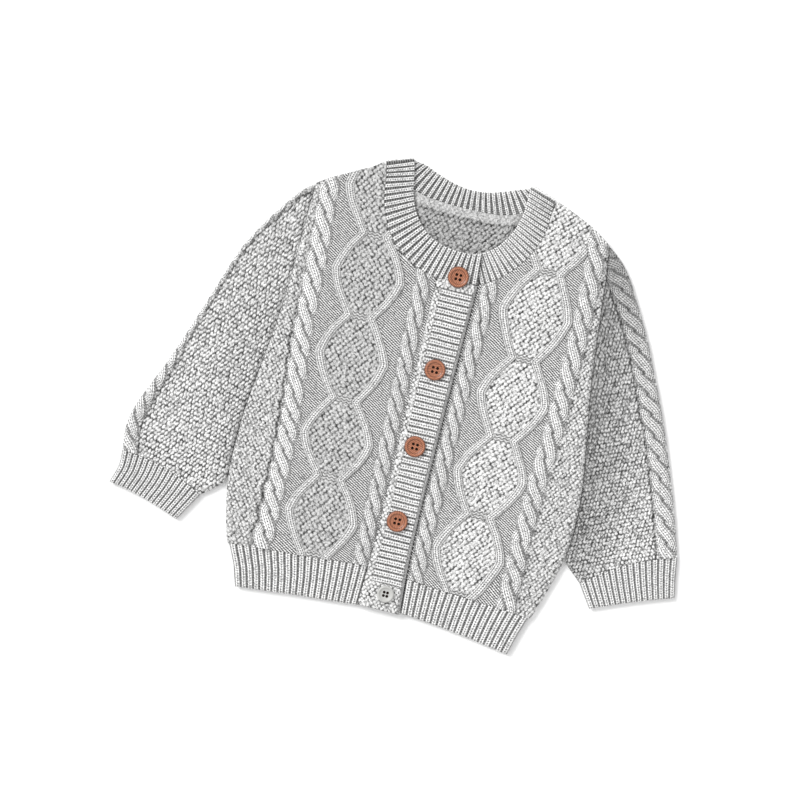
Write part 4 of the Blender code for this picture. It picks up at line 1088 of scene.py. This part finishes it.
neckForm = {"ribs": {"right": 27, "back": 25, "left": 27}, "stepsARib": 9, "rollSteps": 18, "rise": 1.25,
            "ribWidth": 2.9, "breadth": 21, "climb": (-12, -5), "tuck": (-24.5, -20.5),
            "upperWall": 2.6, "wall": 3, "thin": 2.1, "freeRound": 0.075, "seamFrom": 0.955,
            "sheet": {"flat": (0.0215, 0.440), "rests_on": ["back"]}}
bandShares = np.concatenate([[0, 0.006, 0.022, 0.048, 0.085], np.linspace(0.14, 0.92, 14), [0.955, 0.985, 1]])


def neckStations():
    # each has a free and a sewn edge point, a roll, a rib phase, a lift, a wall and both edges' rib pitches
    stations, wall = [], neckForm["wall"]
    steps = np.linspace(0, 1, neckForm["rollSteps"] + 1)[1:-1]
    for stretch, roll in (("right", 0.0), ("back", 180.0), ("left", 0.0)):
        ribs = neckForm["ribs"][stretch]
        count = ribs * neckForm["stepsARib"] + 1
        line = along(neckEdges[stretch], count)
        pitch = (reachAlong(line[:, :2])[-1] / ribs, reachAlong(line[:, 2:])[-1] / ribs)
        if stretch != "right":
            rolls = np.linspace(180 - roll, roll, neckForm["rollSteps"] + 1)[1:-1]
            stations += [(line[0, :2], line[0, 2:], turn, step, 0.0, wall, *pitch)
                         for turn, step in zip(rolls, steps)]
        climbed = np.interp(line[:, 0], neckForm["climb"], (0, 1)) * (stretch == "right")
        tucked = np.interp(-line[:, 0], neckForm["tuck"], (0, 1)) * (stretch == "left")
        lifts = (layer["bandInside"] - layer["frontInside"]) * climbed
        walls = wall + (neckForm["upperWall"] - wall) * climbed + (neckForm["thin"] - wall) * tucked
        stations += [(point[:2], point[2:], roll, *rest, *pitch)
                     for point, *rest in zip(line, np.linspace(0, ribs, count), lifts, walls)]
    return stations


def makeNeckband():
    stations, wall = neckStations(), neckForm["wall"]
    shares = np.concatenate([bandShares, bandShares[::-3]])
    onTop = np.arange(len(shares)) < len(bandShares)
    phase = np.array([station[3] for station in stations])[:, None] + 0 * shares
    pitch = np.array([station[6:] for station in stations])
    pitch = pitch[:, :1] + (pitch[:, 1:] - pitch[:, :1]) * shares
    reach = shares * neckForm["breadth"] + 0 * phase
    knit = ribKnit(phase, reach, neckForm["rise"], neckForm["ribWidth"] / pitch)
    knit["cavity"] = knit["cavity"] * (1.0 - 0.3 * shares)
    softness = nearness(shares, neckForm["freeRound"])
    seamEnd = np.clip((shares - neckForm["seamFrom"]) / (1 - neckForm["seamFrom"]), 0, 1)
    sections = []
    for ribLift, (free, sewn, roll, _, lift, thick, *_) in zip(knit["lift"], stations):
        across = (sewn - free) / np.linalg.norm(sewn - free)
        out = np.array([across[1], -across[0]])
        out *= 1 if out[1] > 0 else -1
        turn = math.radians(roll)
        normal = np.array([*(out * math.sin(turn)), math.cos(turn)])
        middle = np.array([0.0, 0.0, (layer["frontInside"] + wall) / 2 + lift])
        middle = middle + normal * layer["frontInside"] / 2
        ribs = ribLift * (0.3 if 0 < roll < 180 else 1.0) + 0.2
        low = -wall / 2 - (ribs if roll > 90 else 0.0) + 0 * shares
        high = thick - wall / 2 + (ribs if roll <= 90 else 0.0) + 0 * shares
        if roll > 90:
            low = np.minimum(low, -0.4)
        rounded = (high - low) * 0.42 * roundedOff(softness)
        heights = np.where(onTop, high - rounded - 0.3 * seamEnd ** 2, low + rounded)
        spots = np.append(free, 0.0) + np.append(sewn - free, 0.0) * shares[:, None]
        sections.append(middle + spots + normal * heights[:, None])
    clothPiece("neckbandRib", "neckband", ringCloth(np.array(sections), knit), knit, neckForm["sheet"])


makeBack()
makeWelt("back")
for side in ("right", "left"):
    makeFront(side)
    makeWelt(side)
    makeSleeve(side)
    makeCuff(side)
makeButtonBand()
makeButtonholeBand()
makeNeckband()

buttonForm = {
    "thickness": 2.6, "holeRadius": 1.05, "holeOffset": 2.15, "fullRadius": 7.5, "threadTop": 0.35,
    "segments": 72, "base": 8.8,
    "profile": ((0, 0.6), (0.5, 0.6), (0.62, 0.64), (0.7, 0.78), (0.77, 0.96), (0.84, 1), (0.92, 0.94),
        (0.98, 0.72), (1, 0.5), (0.98, 0.24), (0.93, 0.06), (0.86, 0), (0, 0))}
buttonRows = (
    {"node": "button_1", "x": 5.2, "y": 90.2, "radius": 7.5, "slot": "brown_button", "turn": 20},
    {"node": "button_2", "x": 5, "y": 23, "radius": 7.5, "slot": "brown_button", "turn": 75},
    {"node": "button_3", "x": 4.4, "y": -32.6, "radius": 7.5, "slot": "brown_button", "turn": 110},
    {"node": "button_4", "x": 5, "y": -86.6, "radius": 7.5, "slot": "brown_button", "turn": 160},
    {"node": "button_5", "x": 9.4, "y": -138.2, "radius": 6, "slot": "pale_button", "turn": 10})
woodForm = {"pale": (0.45, 0.18, 0.098), "deep": (0.17, 0.054, 0.026), "grainScale": 260,
            "streakScale": 900, "rim": (0.35, 0.3, 0.3),
            "rings": ((0.6, 0.9), (0.69, 0.5), (0.78, 1.18), (0.88, 0.85))}


def woodLook(name, row):
    addNode, maths, ramp, surface, spot = newMaterial(name)
    away = [(tableMiddle[0] - row["x"]) * millimetre, (tableMiddle[1] - row["y"]) * millimetre, -0.01]
    moved = addNode("Mapping", {"Vector": spot, "Location": away}).outputs[0]
    turned = addNode("Mapping", {"Vector": moved, "Rotation": (0, 0, math.radians(row["turn"]))}).outputs[0]
    grain = addNode("TexWave", {"Vector": turned, "Scale": woodForm["grainScale"], "Distortion": 5,
                                "Detail": 3, "Detail Scale": 0.8})
    streak = addNode("TexNoise", {"Vector": turned, "Scale": woodForm["streakScale"], "Detail": 4})
    mixed = maths("ADD", maths("MULTIPLY", grain.outputs[1], 0.6), maths("MULTIPLY", streak.outputs[0], 0.5))
    wood = ramp(mixed, (0.2, woodForm["deep"]), (0.75, woodForm["pale"]))
    fromMiddle = addNode("VectorMath", {0: turned, 1: (1, 1, 0)}, operation="MULTIPLY").outputs[0]
    reach = addNode("VectorMath", {0: fromMiddle}, operation="LENGTH").outputs["Value"]
    worn = ramp(maths("DIVIDE", reach, row["radius"] * millimetre), (0.0, (1, 1, 1)), (1.0, woodForm["rim"]),
                *((place, (value, value, value)) for place, value in woodForm["rings"]))
    shaded = addNode("VectorMath", {0: wood, 1: worn}, operation="MULTIPLY").outputs[0]
    return surface(shaded, maths("MULTIPLY_ADD", mixed, 0.2, 0.22), 0.4, (mixed, 0.00012, 0.6))


def paleLook(name):
    addNode, _, ramp, surface, spot = newMaterial(name)
    cloud = addNode("TexNoise", {"Vector": spot, "Scale": 260, "Detail": 3}).outputs[0]
    pale = ramp(cloud, (0, (0.36, 0.36, 0.35)), (1, (0.52, 0.52, 0.5)))
    return surface(pale, 0.38, bump=(cloud, 0.00008, 0.5))


def threadLook(name):
    addNode, _, ramp, surface, spot = newMaterial(name)
    strand = addNode("TexWave", {"Vector": spot, "Scale": 1400, "Distortion": 2}).outputs[1]
    return surface(ramp(strand, (0, (0.01, 0.006, 0.005)), (1, (0.05, 0.03, 0.025))), 0.9, 0.05)


def turnedDisc(row):
    work = bmesh.new()
    radius, thickness = row["radius"], buttonForm["thickness"]
    rim = [work.verts.new((share * radius * millimetre, 0.0, rise * thickness * millimetre))
           for share, rise in buttonForm["profile"]]
    edges = [work.edges.new(pair) for pair in zip(rim[:-1], rim[1:])]
    bmesh.ops.spin(work, geom=rim + edges, cent=(0, 0, 0), axis=(0, 0, 1), angle=2 * math.pi,
                   steps=buttonForm["segments"], use_merge=True)
    bmesh.ops.remove_doubles(work, verts=work.verts, dist=1e-6)
    bmesh.ops.recalc_face_normals(work, faces=work.faces)
    return work


def addPegs(work, row, middle, rise, radius, tip, depth, segments):
    # a round peg in each of the four holes
    offset = buttonForm["holeOffset"] * row["radius"] / buttonForm["fullRadius"]
    out = (offset * millimetre, 0, rise * millimetre)
    for quarter in range(4):
        turn = middle @ Matrix.Rotation((quarter + 0.5) * math.pi / 2, 4, "Z")
        bmesh.ops.create_cone(work, cap_ends=True, segments=segments, radius1=radius * millimetre,
                              radius2=tip * millimetre, depth=depth * millimetre,
                              matrix=turn @ Matrix.Translation(out))


def threadInHoles(mesh, row, middle):
    # the sewing thread that fills the bottom of each hole
    work = bmesh.new()
    work.from_mesh(mesh)
    before = set(work.faces)
    radius = 0.96 * buttonForm["holeRadius"]
    addPegs(work, row, middle, buttonForm["threadTop"], radius, 0.5 * radius, 0.5, 16)
    for face in work.faces:
        if face not in before:
            face.material_index = 1
    work.to_mesh(mesh)
    work.free()


def makeButton(row):
    name = row["node"].replace("_", "") + "Disc"
    disc = meshObject(name + "Blank", turnedDisc(row))
    work, radius = bmesh.new(), buttonForm["holeRadius"]
    addPegs(work, row, Matrix(), 0, radius, radius, 8 * buttonForm["thickness"], 20)
    drill = meshObject(name + "Drill", work)
    holes = disc.modifiers.new("holes", "BOOLEAN")
    holes.operation, holes.solver, holes.object = "DIFFERENCE", "EXACT", drill
    bpy.context.view_layer.update()
    mesh = bpy.data.meshes.new_from_object(disc.evaluated_get(bpy.context.evaluated_depsgraph_get()))
    bpy.data.objects.remove(disc)
    bpy.data.objects.remove(drill)
    spot = (row["x"] - tableMiddle[0], row["y"] - tableMiddle[1], buttonForm["base"])
    middle = Matrix.Translation([c * millimetre for c in spot])
    mesh.transform(middle)
    smoothed(mesh, 40)
    mesh.materials.clear()
    pale = row["slot"] == "pale_button"
    mesh.materials.append(paleLook(name + "Look") if pale else woodLook(name + "Look", row))
    mesh.materials.append(thread)
    threadInHoles(mesh, row, middle)
    dressed(name, mesh, row["node"], row["slot"])


thread = threadLook("buttonThread")
for row in buttonRows:
    makeButton(row)
print("buttons sewn on")

studio = {"floorSize": 14, "floorColour": (0.97, 0.97, 0.97, 1), "sunPower": 2.33, "sunAngle": 26,
          "sunTilt": 46, "sunTurn": 225, "skyPower": 0.9, "cameraHeight": 2.5, "frameWidth": 0.564,
          "cameraPlace": (-13.7, -3.4), "cameraTurn": 14, "sensor": 36}

floorWork = bmesh.new()
bmesh.ops.create_grid(floorWork, x_segments=1, y_segments=1, size=studio["floorSize"] / 2)
floor = meshObject("floor", floorWork)
_, _, _, floorSurface, _ = newMaterial("paleFloor")
floor.data.materials.append(floorSurface(studio["floorColour"], 0.9, 0.1))
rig.stage(floor)

sky = bpy.data.worlds.new("softSky")
sky.use_nodes = True
sky.node_tree.nodes["Background"].inputs[0].default_value = (1, 1, 1, 1)
sky.node_tree.nodes["Background"].inputs[1].default_value = studio["skyPower"]
bpy.context.scene.world = sky

sun = bpy.data.lights.new("softWindow", "SUN")
sun.energy, sun.angle = studio["sunPower"], math.radians(studio["sunAngle"])
window = linked("softWindow", sun)
sunTurn = math.radians(studio["sunTurn"] + studio["cameraTurn"])
window.rotation_euler = (math.radians(studio["sunTilt"]), 0, sunTurn)

lens = bpy.data.cameras.new("camera")
lens.sensor_width, lens.clip_end = studio["sensor"], 50.0
lens.lens = studio["sensor"] * studio["cameraHeight"] / studio["frameWidth"]
camera = linked("camera", lens)
cameraX, cameraY = ((studio["cameraPlace"][k] - tableMiddle[k]) * millimetre for k in (0, 1))
camera.location = (cameraX, cameraY, studio["cameraHeight"])
camera.rotation_euler = (0, 0, math.radians(studio["cameraTurn"]))
bpy.context.scene.camera = camera
bpy.context.scene.view_settings.view_transform = "Standard"
print("lights and camera set")


def sizeRow(bounds):
    return [[float(value) for value in corner] for corner in bounds]


with open("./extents.json", "w") as sizeFile:
    sizeFile.write(str({"cad": sizeRow(cadBounds), "visual": sizeRow(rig.bounds())}).replace("'", '"'))
